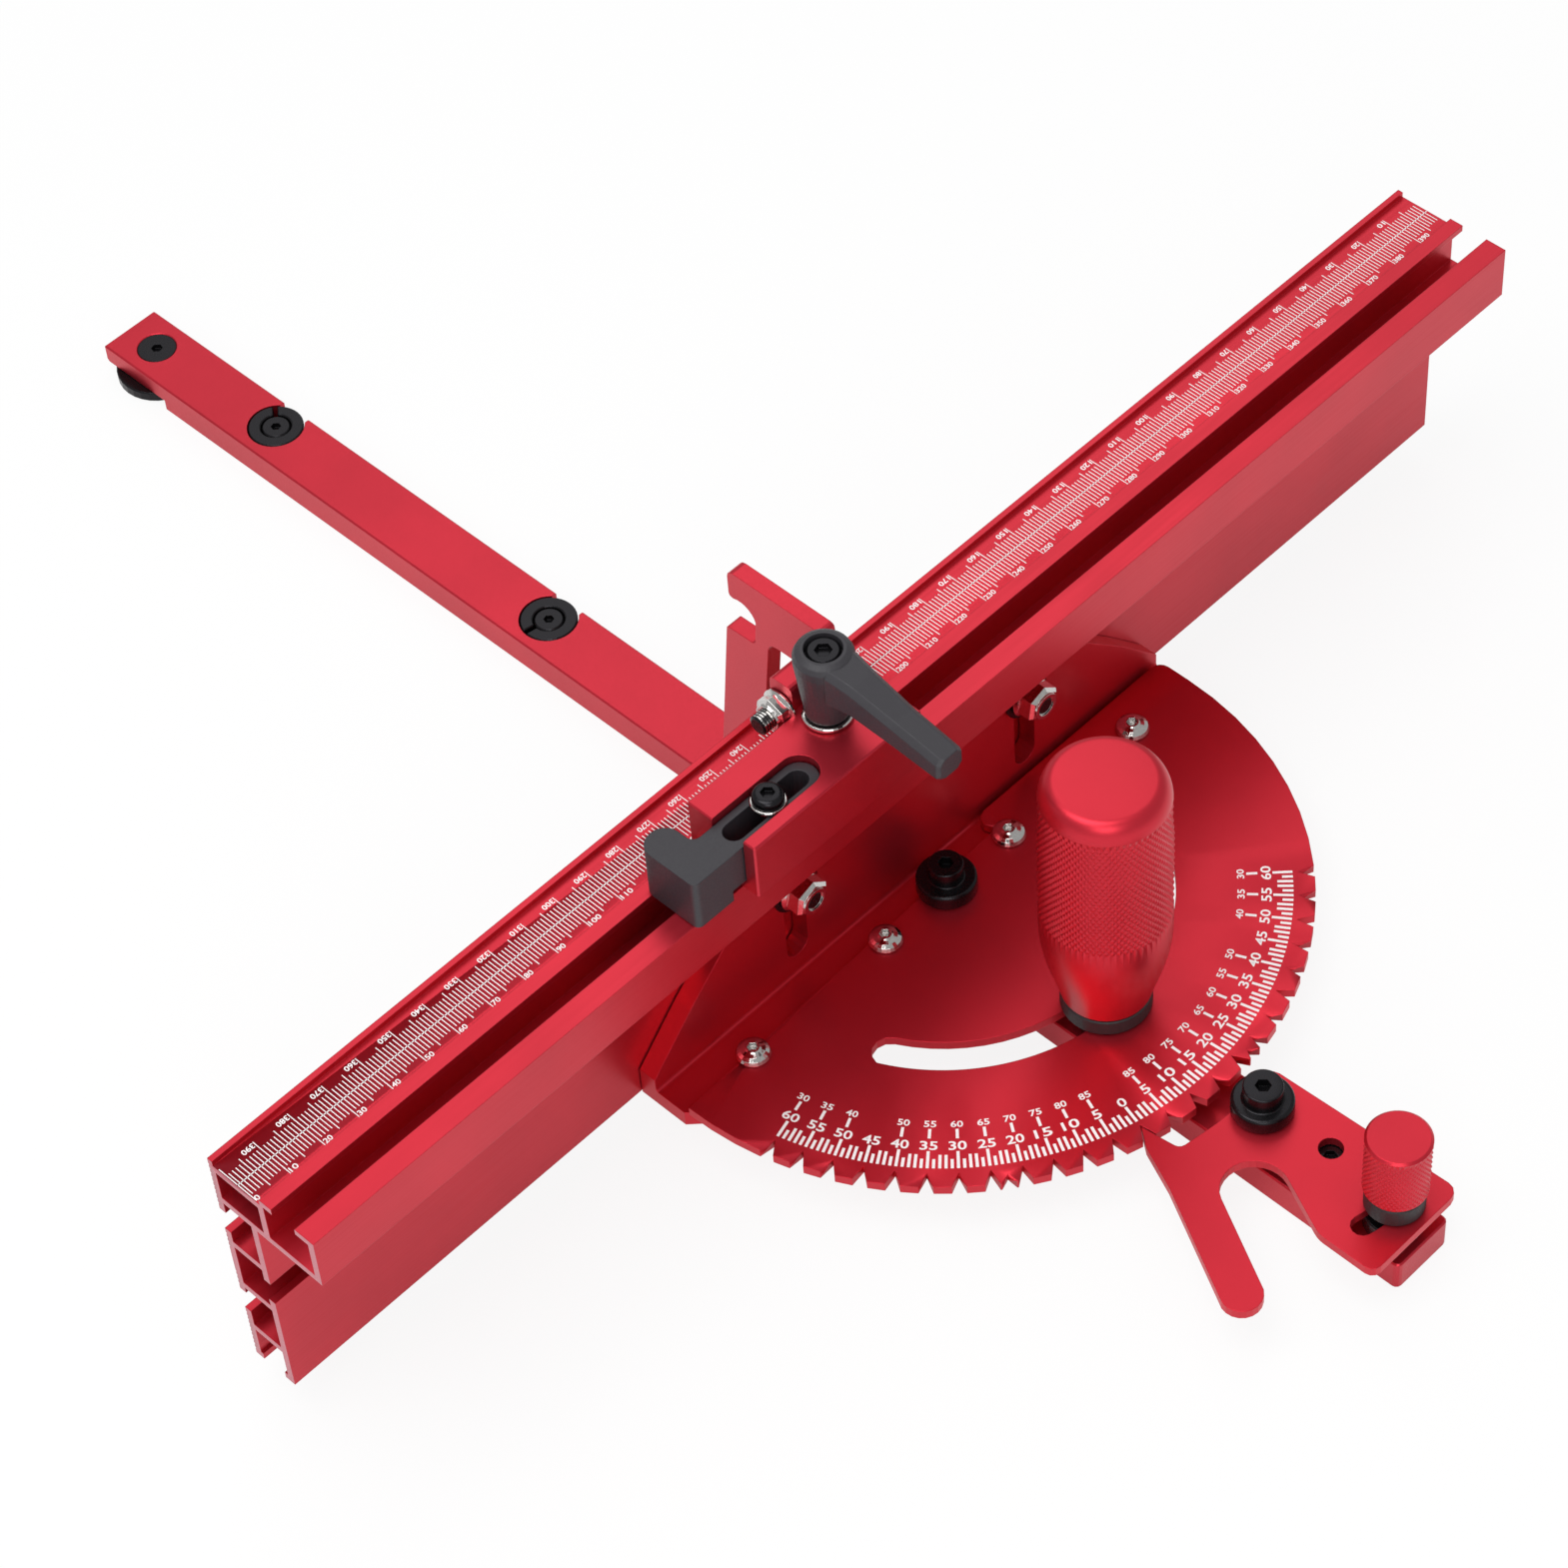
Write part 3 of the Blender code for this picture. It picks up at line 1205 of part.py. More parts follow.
def adjust_finger(finger):
    """The L-shaped finger that slides in the block's groove, with a slot for its screw."""
    top = STOP_LOW + FINGER_TOP
    half = FINGER_ARM_WIDTH / 2
    front = GROOVE_CENTRE - half
    back = GROOVE_CENTRE + half
    end = GROOVE_END - SEAT_GAP
    head_right = FINGER_LEFT + FINGER_HEAD_WIDTH
    fillet = 0.0022
    outline = rounded([
        (FINGER_LEFT, front, 0.0016),
        (end, front, half * 0.998),
        (end, back, half * 0.998),
        (head_right, back, fillet),
        (head_right, FINGER_BACK, FINGER_HEAD_WIDTH * 0.47),
        (FINGER_LEFT, FINGER_BACK, FINGER_HEAD_WIDTH * 0.47),
    ], 6)
    hole = slot((FINGER_SLOT_FROM + FINGER_SLOT_WIDTH / 2, GROOVE_CENTRE),
                (FINGER_SLOT_TO - FINGER_SLOT_WIDTH / 2, GROOVE_CENTRE), FINGER_SLOT_WIDTH)
    bm = bmesh.new()
    prism(bm, outline, STOP_LOW, top, holes=[hole])
    made = piece("adjust_finger", bm, BLACK_COATED, (FINGER_SCREW_X, GROOVE_CENTRE, STOP_LOW), finger)
    tool = bmesh.new()
    arm_low = STOP_LOW + GROOVE_FLOOR + SEAT_GAP
    box(tool, (head_right + fillet, front - 0.005, STOP_LOW - 0.005), (end + 0.005, back + 0.005, arm_low))
    boolean(made, tool, "underside")
    return made


def finger_screw(stop):
    """The screw and washer that hold the finger in its groove."""
    x, y = FINGER_SCREW_X, GROOVE_CENTRE
    top = STOP_LOW + FINGER_TOP
    radius = FINGER_SCREW_RADIUS
    washer("finger_washer", (x, y, top + SEAT_GAP), FINGER_WASHER_RADIUS, radius + SEAT_GAP, FINGER_WASHER_THICKNESS,
           POLISHED_STEEL, stop)
    low = STOP_LOW + 0.0004
    seat = top + FINGER_WASHER_THICKNESS + 2 * SEAT_GAP
    head = FINGER_HEAD_RADIUS
    high = seat + FINGER_HEAD_HEIGHT
    profile = [(0.0, low), (radius, low), (radius, seat), (head, seat), (head, seat + FINGER_HEAD_HEIGHT * 0.45),
               (head * 0.90, high - 0.0004), (head * 0.72, high), (0.0, high)]
    bm = bmesh.new()
    turned(bm, profile, (x, y, 0.0), steps=28)
    screw = piece("finger_screw", bm, BLACK_OXIDE, (x, y, seat), stop)
    socket(screw, (x, y, high), 0.0019, 0.0014)


def flip_arm(flip):
    """The flip arm: an eye on the bolt, a beam with a hooked notch, and a leg before the work face."""
    y0, z0 = FLIP_AXIS_Y, FLIP_AXIS_Z
    top = FLIP_BEAM_TOP
    beam_low = FLIP_BEAM_BOTTOM
    slant = FLIP_LEG_SLANT
    foot = -FLIP_LEG_REACH

    def leg(offset, z):
        """A point of the leg's slanting side at a height."""
        return offset + slant * (beam_low - z)

    inner = FLIP_LEG_INNER
    outer = FLIP_LEG_OUTER
    # The eye meets the back of the beam above the bolt, and the beam's underside before it.
    start = 90.0 + math.degrees(math.asin(FLIP_BEAM_BACK / FLIP_EYE_RADIUS))
    end = 360.0 - math.degrees(math.asin(-beam_low / FLIP_EYE_RADIUS))
    eye = arc((0.0, 0.0), FLIP_EYE_RADIUS, start, end, 18)
    hollow = arc((FLIP_NOTCH + FLIP_HOLLOW_RADIUS, 0.0), FLIP_HOLLOW_RADIUS, 168.0, 66.0, 7)
    corners = [
        (-FLIP_BEAM_BACK, top, 0.0015),
        *[(y, z, 0.0) for y, z in eye],
        (inner, beam_low, 0.0030),
        (leg(inner, foot), foot, 0.0010),
        (leg(outer, foot), foot, 0.0020),
        (leg(outer, FLIP_SHOULDER), FLIP_SHOULDER, 0.0008),
        (FLIP_NOTCH + 0.0008, FLIP_SHOULDER + 0.0003, 0.0012),
        *[(y, z, 0.0) for y, z in hollow],
        (FLIP_TIP, 0.0046, 0.0012),
        (FLIP_TIP, top, 0.0020),
    ]
    outline = [(y0 + y, z0 + z) for y, z in rounded(corners, 3)]
    bm = bmesh.new()
    right = ARM_LEFT + ARM_THICKNESS
    prism(bm, outline, ARM_LEFT, right, in_section, [circle((y0, z0), FLIP_BOLT_RADIUS + RUN_GAP, 20)])
    made = piece("flip_arm", bm, RED_ANODISED, (ARM_LEFT, y0, z0), flip)
    break_edges(made, EDGE_BREAK, 60.0)
    return made


def flip_bolt(stop):
    """The bolt that the arm turns on, with its nut on the ear."""
    y, z = FLIP_AXIS_Y, FLIP_AXIS_Z
    nut_right = EAR_LEFT - SEAT_GAP
    nut_left = nut_right - FLIP_NUT_HEIGHT
    end = nut_left - FLIP_STUD_REACH
    seat = ARM_LEFT + ARM_THICKNESS + SEAT_GAP
    radius = FLIP_BOLT_RADIUS
    head = FLIP_HEAD_RADIUS
    tip = seat + FLIP_HEAD_HEIGHT
    profile = [(0.0, end), (radius - 0.0005, end), (radius, end + 0.0005), (radius, seat), (head, seat),
               (head, tip - 0.0010), (head - 0.0010, tip), (0.0, tip)]
    bm = bmesh.new()
    turned(bm, profile, (0.0, y, z), "X", steps=24)
    bolt = piece("flip_bolt", bm, POLISHED_STEEL, (end, y, z), stop)
    socket(bolt, (tip, y, z), 0.0021, 0.0018, "X")

    bm = bmesh.new()
    outline = hexagon((y, z), FLIP_NUT_RADIUS, 30.0)
    prism(bm, outline, nut_left, nut_right, in_section, [circle((y, z), radius + SEAT_GAP, 20)])
    nut = piece("flip_nut", bm, POLISHED_STEEL, (nut_right, y, z), stop)
    break_edges(nut, EDGE_BREAK, 50.0)


def build():
    """Make the whole gauge."""
    clear_scene()
    head = axis_empty("head_axis", (0.0, 0.0, PLATE_LOW))
    fence = axis_empty("fence_axis", (FENCE_SHIFT, FENCE_OPERATOR, FENCE_BOLT_Z), head)
    stop = axis_empty("stop_axis", (LEVER_X, MOUTH_CENTRE, STOP_LOW), fence)
    lever = axis_empty("lever_axis", (LEVER_X, MOUTH_CENTRE, STOP_TOP), stop)
    finger = axis_empty("finger_axis", (FINGER_SCREW_X, GROOVE_CENTRE, STOP_TOP), stop)
    flip = axis_empty("flip_axis", (ARM_LEFT, FLIP_AXIS_Y, FLIP_AXIS_Z), stop)
    handle = axis_empty("handle_axis", (0.0, HANDLE_Y, PLATE_TOP))
    index = axis_empty("index_axis", (0.0, INDEX_AXIS_Y, PLATE_LOW))
    knob = axis_empty("lock_axis", (0.0, INDEX_AXIS_Y - LOCK_RADIUS, PLATE_TOP))

    guide_bar()
    bar_fittings()
    shoulder_screw("pivot_screw", 0.0, BAR_FLOOR + SEAT_GAP)
    shoulder_screw("index_screw", INDEX_AXIS_Y, 0.0006)
    spacer("index_spacer", INDEX_AXIS_Y, PIVOT_SHANK_RADIUS + SEAT_GAP)

    protractor_plate(head)
    fence_bracket(head)
    bracket_screws(head)
    fence_bolts(head)
    fence_rail(fence)

    clamp_handle(handle)
    index_plate(index)
    index_lock(knob)

    stop_block(stop)
    track_nut(stop)
    clamp_lever(lever)
    adjust_finger(finger)
    finger_screw(stop)
    flip_arm(flip)
    flip_bolt(stop)


build()
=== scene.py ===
"""Dresses the miter gauge: its finishes, printed scales, knurling, screws and nuts, and a plain studio.

Lengths are in metres, in the gauge's own frame: +Y runs along the guide bar, +X along the fence, and the
origin is on the head's pivot axis, level with the underside of the bar.
"""

import json
import math

import bmesh
import bpy
from mathutils import Matrix, Vector

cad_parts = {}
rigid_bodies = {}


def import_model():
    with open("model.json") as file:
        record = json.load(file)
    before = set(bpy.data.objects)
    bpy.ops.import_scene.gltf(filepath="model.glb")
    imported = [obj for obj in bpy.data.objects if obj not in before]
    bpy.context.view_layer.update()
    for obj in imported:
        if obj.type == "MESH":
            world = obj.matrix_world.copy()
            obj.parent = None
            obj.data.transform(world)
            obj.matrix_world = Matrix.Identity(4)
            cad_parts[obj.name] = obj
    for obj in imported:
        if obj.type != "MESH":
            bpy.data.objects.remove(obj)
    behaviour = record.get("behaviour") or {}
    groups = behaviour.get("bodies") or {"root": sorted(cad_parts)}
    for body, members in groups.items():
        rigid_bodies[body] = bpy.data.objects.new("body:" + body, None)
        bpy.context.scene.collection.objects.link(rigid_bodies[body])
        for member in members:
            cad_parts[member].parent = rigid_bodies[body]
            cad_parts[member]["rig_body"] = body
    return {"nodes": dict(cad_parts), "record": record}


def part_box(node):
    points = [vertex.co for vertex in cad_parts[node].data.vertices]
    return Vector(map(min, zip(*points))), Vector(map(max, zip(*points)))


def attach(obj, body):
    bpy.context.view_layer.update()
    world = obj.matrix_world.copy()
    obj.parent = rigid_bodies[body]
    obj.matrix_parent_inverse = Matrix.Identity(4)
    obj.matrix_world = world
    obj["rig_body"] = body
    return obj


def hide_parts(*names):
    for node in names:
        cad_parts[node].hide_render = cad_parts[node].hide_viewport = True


bl_info = {
    "name": "Miter gauge dressing",
    "version": (1, 0, 0),
    "blender": (4, 5, 0),
    "location": "3D View > Sidebar > Miter gauge",
    "description": "Finishes, printed scales, knurling and a studio for the miter gauge",
    "category": "Object",
}

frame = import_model()
NODES = frame["nodes"]

BAR_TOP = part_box("miter_bar")[1].z
PLATE_LOW, PLATE_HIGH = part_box("protractor_plate")
FENCE_LOW, FENCE_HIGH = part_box("fence_rail")
GRIP_LOW, GRIP_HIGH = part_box("clamp_handle")
KNOB_LOW, KNOB_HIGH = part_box("lock_knob")

# A print lies this far above its metal, and a cutter runs this far past what it cuts.
PRINT_LIFT = 0.00002
CUT_PAST = 0.002

# The fence's rule: the sunk ledge that carries it, and where its lines end on either side of the middle
LEDGE_DEPTH = 0.0018
LEDGE_CUT = (0.0125, 0.0145)
RULE_MIDDLE = 0.01985
RULE_NEAR = {"one": 0.0158, "five": 0.0146, "ten": 0.0136}
RULE_FAR = {"one": 0.0236, "five": 0.0248, "ten": 0.0260}
RULE_MARGIN = 0.0002
RULE_EDGE_START = 0.0138
NUMERAL_GAP = 0.00040
MILLIMETRE = 0.001

# The head's scale, as radii about the pivot. Its zero stands this many degrees from the bar's near end.
SCALE_OFFSET = -15.3
SCALE_REACH = 60
LINE_OUTER = 0.0830
LINE_INNER = {0: 0.0782, 1: 0.0804, 2: 0.0792, 3: 0.0792, 4: 0.0804}
LARGE_NUMERAL_RADIUS = 0.0766
SMALL_NUMERAL_RADIUS = 0.0705
SMALL_LINE = (0.0719, 0.0746)

# The ring that narrows the head's clamp slot, and the degrees it runs to either side
SLOT_RING = (0.05495, 0.05650)
SLOT_REACH = 68.0
SLOT_STEP = 2.0

# How wide a printed figure is for its height
NUMERAL_WIDTHS = {"rule": 0.72, "large": 0.84, "small": 0.80}

RED_PIECES = {
    "fence_rail": "extruded",
    "stop_block": "machined",
    "flip_arm": "machined",
    "miter_bar": "machined",
    "protractor_plate": "sheet",
    "fence_bracket": "sheet",
    "index_plate": "sheet",
}


# Settings that a user would change


class MITERGAUGE_PG_finish(bpy.types.PropertyGroup):
    """Colours of the finishes, as sRGB hex"""

    extruded: bpy.props.StringProperty(
        name="Extruded fence", description="Red of the anodised extrusion", default="#C92A3A"
    )
    machined: bpy.props.StringProperty(
        name="Machined blocks", description="Red of the bar, the stop and the flip arm", default="#C62A3A"
    )
    sheet: bpy.props.StringProperty(
        name="Sheet plates", description="Deeper red of the blasted plates", default="#CF2939"
    )
    grip: bpy.props.StringProperty(
        name="Turned grip", description="Red of the handle and the lock knob", default="#CC2939"
    )
    oxide: bpy.props.StringProperty(
        name="Black oxide", description="Black of the steel screws", default="#242326"
    )
    coating: bpy.props.StringProperty(
        name="Powder coat", description="Grey black of the lever and the finger", default="#302E33"
    )
    nylon: bpy.props.StringProperty(
        name="Nylon", description="Black of the plastic washers", default="#262628"
    )
    steel: bpy.props.StringProperty(
        name="Stainless steel", description="Colour of the bright screws and nuts", default="#C9C7C4"
    )
    ink: bpy.props.StringProperty(
        name="Printing ink", description="White of the scales", default="#FBF8F8"
    )


class MITERGAUGE_PG_scales(bpy.types.PropertyGroup):
    """Sizes of the printed scales"""

    rule_line: bpy.props.FloatProperty(
        name="Rule line", description="Width of a line on the fence's rule", default=0.00023, unit="LENGTH"
    )
    rule_numeral: bpy.props.FloatProperty(
        name="Rule numeral", description="Height of a numeral on the fence's rule", default=0.00150,
        unit="LENGTH",
    )
    head_line: bpy.props.FloatProperty(
        name="Head line", description="Width of a degree line on the head", default=0.00072, unit="LENGTH"
    )
    head_numeral: bpy.props.FloatProperty(
        name="Head numeral", description="Height of a large numeral on the head", default=0.00250,
        unit="LENGTH",
    )
    head_small: bpy.props.FloatProperty(
        name="Head small numeral", description="Height of a small numeral on the head", default=0.00180,
        unit="LENGTH",
    )


class MITERGAUGE_PG_grips(bpy.types.PropertyGroup):
    """Sizes of the knurling"""

    knurl_pitch: bpy.props.FloatProperty(
        name="Knurl pitch", description="Distance between the diamonds of the handle", default=0.0015,
        unit="LENGTH",
    )
    knurl_depth: bpy.props.FloatProperty(
        name="Knurl depth", description="Depth of the diamonds of the handle", default=0.00032,
        unit="LENGTH",
    )
    knurl_low: bpy.props.FloatProperty(
        name="Knurl start", description="Height of the lowest diamond above the bar's underside",
        default=0.0524, unit="LENGTH",
    )
    knurl_high: bpy.props.FloatProperty(
        name="Knurl end", description="Height of the highest diamond above the bar's underside",
        default=0.0906, unit="LENGTH",
    )


class MITERGAUGE_PG_studio(bpy.types.PropertyGroup):
    """The lamps and the floor"""

    floor: bpy.props.StringProperty(
        name="Floor", description="Colour of the floor as sRGB hex", default="#F7F7F7"
    )
    top_lamp: bpy.props.FloatProperty(
        name="Top lamp", description="Power of the large lamp beyond the fence", default=4.2, unit="POWER"
    )
    overhead_lamp: bpy.props.FloatProperty(
        name="Overhead lamp", description="Power of the lamp above the gauge", default=11.0, unit="POWER"
    )
    side_lamp: bpy.props.FloatProperty(
        name="Side lamp", description="Power of the lamp on the operator's side", default=6.5, unit="POWER"
    )
    sky: bpy.props.FloatProperty(
        name="Sky", description="Strength of the even light from all round", default=0.50
    )
    lens: bpy.props.FloatProperty(
        name="Lens", description="Focal length of the camera in millimetres", default=107.86, unit="CAMERA"
    )


# Materials

# The stretch of a grain that is as long as it is wide
EVEN = (1.0, 1.0, 1.0)


def linear(colour):
    """A colour from sRGB hex to linear RGBA."""
    channels = [int(colour[i : i + 2], 16) / 255.0 for i in (1, 3, 5)]
    lit = [c / 12.92 if c <= 0.04045 else ((c + 0.055) / 1.055) ** 2.4 for c in channels]
    return (*lit, 1.0)


def add(tree, kind, inputs=None, **settings):
    """Adds one node, with its settings, and with values or links for its inputs."""
    node = tree.nodes.new(kind)
    for name, value in settings.items():
        setattr(node, name, value)
    for socket, value in (inputs or {}).items():
        if isinstance(value, bpy.types.NodeSocket):
            tree.links.new(value, node.inputs[socket])
        else:
            node.inputs[socket].default_value = value
    return node


def new_material(name, **shader_inputs):
    """A material with one Principled shader, its tree and that shader."""
    material = bpy.data.materials.new(name)
    material.use_nodes = True
    tree = material.node_tree
    tree.nodes.clear()
    shader = add(tree, "ShaderNodeBsdfPrincipled", shader_inputs)
    add(tree, "ShaderNodeOutputMaterial", {"Surface": shader.outputs["BSDF"]})
    return material, tree, shader


def grain(tree, size, stretch=EVEN):
    """Noise whose grains are a real size in metres, drawn out by a stretch along each axis."""
    place = add(tree, "ShaderNodeTexCoord")
    scaled = add(
        tree,
        "ShaderNodeMapping",
        {"Vector": place.outputs["Object"], "Scale": tuple(1.0 / (size * s) for s in stretch)},
    )
    return add(
        tree, "ShaderNodeTexNoise", {"Vector": scaled.outputs["Vector"], "Scale": 1.0, "Detail": 2.0}
    )


def spread(tree, source, low, high):
    """Turns noise about its middle into a value between two bounds."""
    return add(
        tree,
        "ShaderNodeMapRange",
        {"Value": source, "From Min": 0.3, "From Max": 0.7, "To Min": low, "To Max": high},
    ).outputs["Result"]


def tinted(tree, colour, source, amount):
    """A colour that a noise darkens and lightens a little."""
    base = linear(colour)
    dark = tuple(c * (1.0 - amount) for c in base[:3]) + (1.0,)
    light = tuple(min(1.0, c * (1.0 + amount)) for c in base[:3]) + (1.0,)
    mixed = add(
        tree,
        "ShaderNodeMix",
        {"Factor": spread(tree, source, 0.0, 1.0), "A": dark, "B": light},
        data_type="RGBA",
    )
    return mixed.outputs["Result"]


def anodised_aluminium(name, colour, grit, stretch, roughness, edge=0.00025, painted_end_reflection=False):
    """Red anodised aluminium: the dyed oxide tints the metal's shine, and the clear seal adds a haze."""
    material, tree, shader = new_material(
        name, **{"Metallic": 0.82, "Coat Weight": 0.10, "Coat Roughness": 0.30, "Coat IOR": 1.5}
    )
    cloudy = grain(tree, 0.03)
    fine = grain(tree, grit, stretch)
    base = tinted(tree, colour, cloudy.outputs["Fac"], 0.06)
    if painted_end_reflection:
        # Painted reflection: faces that point along the fence, its ends, get a paler pink base colour in
        # place of the sheen they catch.
        facing = add(tree, "ShaderNodeNewGeometry")
        across = add(tree, "ShaderNodeSeparateXYZ", {"Vector": facing.outputs["True Normal"]})
        ends = add(tree, "ShaderNodeMath", {0: across.outputs["X"]}, operation="ABSOLUTE")
        end_reflection_mask = add(tree, "ShaderNodeMath", {0: ends.outputs["Value"], 1: 0.9}, operation="GREATER_THAN")
        base = add(
            tree,
            "ShaderNodeMix",
            {"Factor": end_reflection_mask.outputs["Value"], "A": base, "B": linear("#C4707B")},
            data_type="RGBA",
        ).outputs["Result"]
    tree.links.new(base, shader.inputs["Base Color"])
    rough = spread(tree, fine.outputs["Fac"], roughness - 0.05, roughness + 0.05)
    tree.links.new(rough, shader.inputs["Roughness"])
    rounded_edge = add(tree, "ShaderNodeBevel", {"Radius": edge}, samples=6)
    bump = add(
        tree,
        "ShaderNodeBump",
        {
            "Strength": 0.25,
            "Distance": 0.00003,
            "Height": fine.outputs["Fac"],
            "Normal": rounded_edge.outputs["Normal"],
        },
    )
    tree.links.new(bump.outputs["Normal"], shader.inputs["Normal"])
    return material


def plain_finish(name, colour, metallic, roughness, grit, edge=0.0002):
    """Bare, blackened or coated metal, or a moulding: its shine varies with a grain of a real size."""
    material, tree, shader = new_material(name, **{"Metallic": metallic})
    fine = grain(tree, grit)
    base = tinted(tree, colour, fine.outputs["Fac"], 0.08)
    tree.links.new(base, shader.inputs["Base Color"])
    rough = spread(tree, fine.outputs["Fac"], roughness * 0.8, roughness * 1.2)
    tree.links.new(rough, shader.inputs["Roughness"])
    rounded_edge = add(tree, "ShaderNodeBevel", {"Radius": edge}, samples=6)
    bump = add(
        tree,
        "ShaderNodeBump",
        {
            "Strength": 0.3,
            "Distance": grit * 0.12,
            "Height": fine.outputs["Fac"],
            "Normal": rounded_edge.outputs["Normal"],
        },
    )
    tree.links.new(bump.outputs["Normal"], shader.inputs["Normal"])
    return material


def screen_ink(name, colour):
    """Screen-printed ink: thin, matt, and a little uneven where it lies over the metal's grain."""
    material, tree, shader = new_material(name, **{"Metallic": 0.0, "IOR": 1.48, "Roughness": 0.55})
    fine = grain(tree, 0.0004)
    tree.links.new(tinted(tree, colour, fine.outputs["Fac"], 0.05), shader.inputs["Base Color"])
    return material


def finish(kind):
    """The material of one kind, made on first use."""
    ready = bpy.data.materials.get(kind)
    if ready:
        return ready
    tone = bpy.context.scene.mitergauge_finish
    makers = {
        # The die leaves lines along the fence, a faint satin streak. Real ones are finer than the 0.5 mm
        # at which they are drawn to show.
        # Its end faces carry a painted reflection: a paler pink base colour.
        "extruded anodised aluminium": lambda name: anodised_aluminium(
            name, tone.extruded, 0.0005, (60.0, 1.0, 1.0), 0.36, painted_end_reflection=True
        ),
        # Milling and etching leave an even satin, in which a face takes one tone from edge to edge.
        "machined anodised aluminium": lambda name: anodised_aluminium(
            name, tone.machined, 0.0004, EVEN, 0.36
        ),
        # Bead blasting leaves pits of about 0.25 mm, drawn at that size, so the plates are the dullest red.
        "blasted anodised aluminium": lambda name: anodised_aluminium(
            name, tone.sheet, 0.00025, EVEN, 0.40
        ),
        # Turning leaves marks round the axis, so the grain is flatter along it and lamps draw out upright.
        "turned anodised aluminium": lambda name: anodised_aluminium(
            name, tone.grip, 0.0003, (1.0, 1.0, 0.4), 0.38
        ),
        # Blackened, oiled steel is dark, but its edges and curves still glint as metal does.
        "black oxide steel": lambda name: plain_finish(name, tone.oxide, 0.80, 0.26, 0.0003),
        # Baked powder is a charcoal paint with a soft sheen and dimples of about 0.5 mm.
        "powder coated zinc": lambda name: plain_finish(
            name, tone.coating, 0.0, 0.50, 0.0005, edge=0.0004
        ),
        # A nylon moulding is an even, dull black with a weak, broad sheen.
        "moulded nylon": lambda name: plain_finish(name, tone.nylon, 0.0, 0.55, 0.0004, edge=0.0003),
        # Polished steel mirrors the room nearly sharply, in small bright and dark patches.
        "polished stainless steel": lambda name: plain_finish(name, tone.steel, 1.0, 0.10, 0.0006),
        # Screen-printed ink is a flat white that stays white where the metal round it shines or darkens.
        "screen printed ink": lambda name: screen_ink(name, tone.ink),
    }
    return makers[kind](kind)


RED_KINDS = {
    "extruded": "extruded anodised aluminium",
    "machined": "machined anodised aluminium",
    "sheet": "blasted anodised aluminium",
}

SLOT_KINDS = {
    "black_oxide": "black oxide steel",
    "black_coated": "powder coated zinc",
    "polished_steel": "polished stainless steel",
    "black_nylon": "moulded nylon",
    "red_anodised": "turned anodised aluminium",
}


def slot_of(node):
    """The record's material slot of a node."""
    return next(part["material_slot"] for part in frame["record"]["subparts"] if part["node"] == node)


def body_of(node):
    """The body that a plain part belongs to."""
    return NODES[node]["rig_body"]


# Mesh helpers

# How far the key sockets and the nuts are turned, in degrees
KEY_TURN = 12.0
NUT_TURN = 20.0

# An edge that turns by more than this many degrees stays sharp, on most pieces and on turned screws.
SHARP_ANGLE = 35.0
SCREW_SHARP = 32.0

# A four-sided face that bends by less than this isn't split.
FLAT_ENOUGH = 1e-7

# Where a shape's u, v and height w go when it stands along an axis
PLACES = {"Z": lambda u, v, w: (u, v, w), "Y": lambda u, v, w: (u, w, v), "X": lambda u, v, w: (w, u, v)}


def new_piece(name, bm, kind, body, smooth=SHARP_ANGLE):
    """A finished mesh object that rides on a body. smooth is the largest angle that isn't left sharp."""
    bmesh.ops.recalc_face_normals(bm, faces=bm.faces)
    mesh = bpy.data.meshes.new(name)
    bm.to_mesh(mesh)
    bm.free()
    mesh.materials.append(finish(kind))
    mesh.shade_smooth()
    mesh.set_sharp_from_angle(angle=math.radians(smooth))
    obj = bpy.data.objects.new(name, mesh)
    bpy.context.scene.collection.objects.link(obj)
    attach(obj, body)
    return obj


def softened(corners, steps):
    """A run of points from corners given as u, v and the radius that rounds each."""
    points = []
    for i, (u, v, radius) in enumerate(corners):
        if radius <= 0.0 or i in (0, len(corners) - 1):
            points.append((u, v))
            continue
        here = Vector((u, v))
        before = (Vector(corners[i - 1][:2]) - here).normalized()
        after = (Vector(corners[i + 1][:2]) - here).normalized()
        half = before.angle(after) / 2
        middle = here + (before + after).normalized() * (radius / math.sin(half))
        first = here + before * (radius / math.tan(half)) - middle
        last = here + after * (radius / math.tan(half)) - middle
        turn = first.angle_signed(last)
        for step in range(steps + 1):
            angle = -turn * step / steps
            cos, sin = math.cos(angle), math.sin(angle)
            along, across = first.x * cos - first.y * sin, first.x * sin + first.y * cos
            points.append((middle.x + along, middle.y + across))
    return points


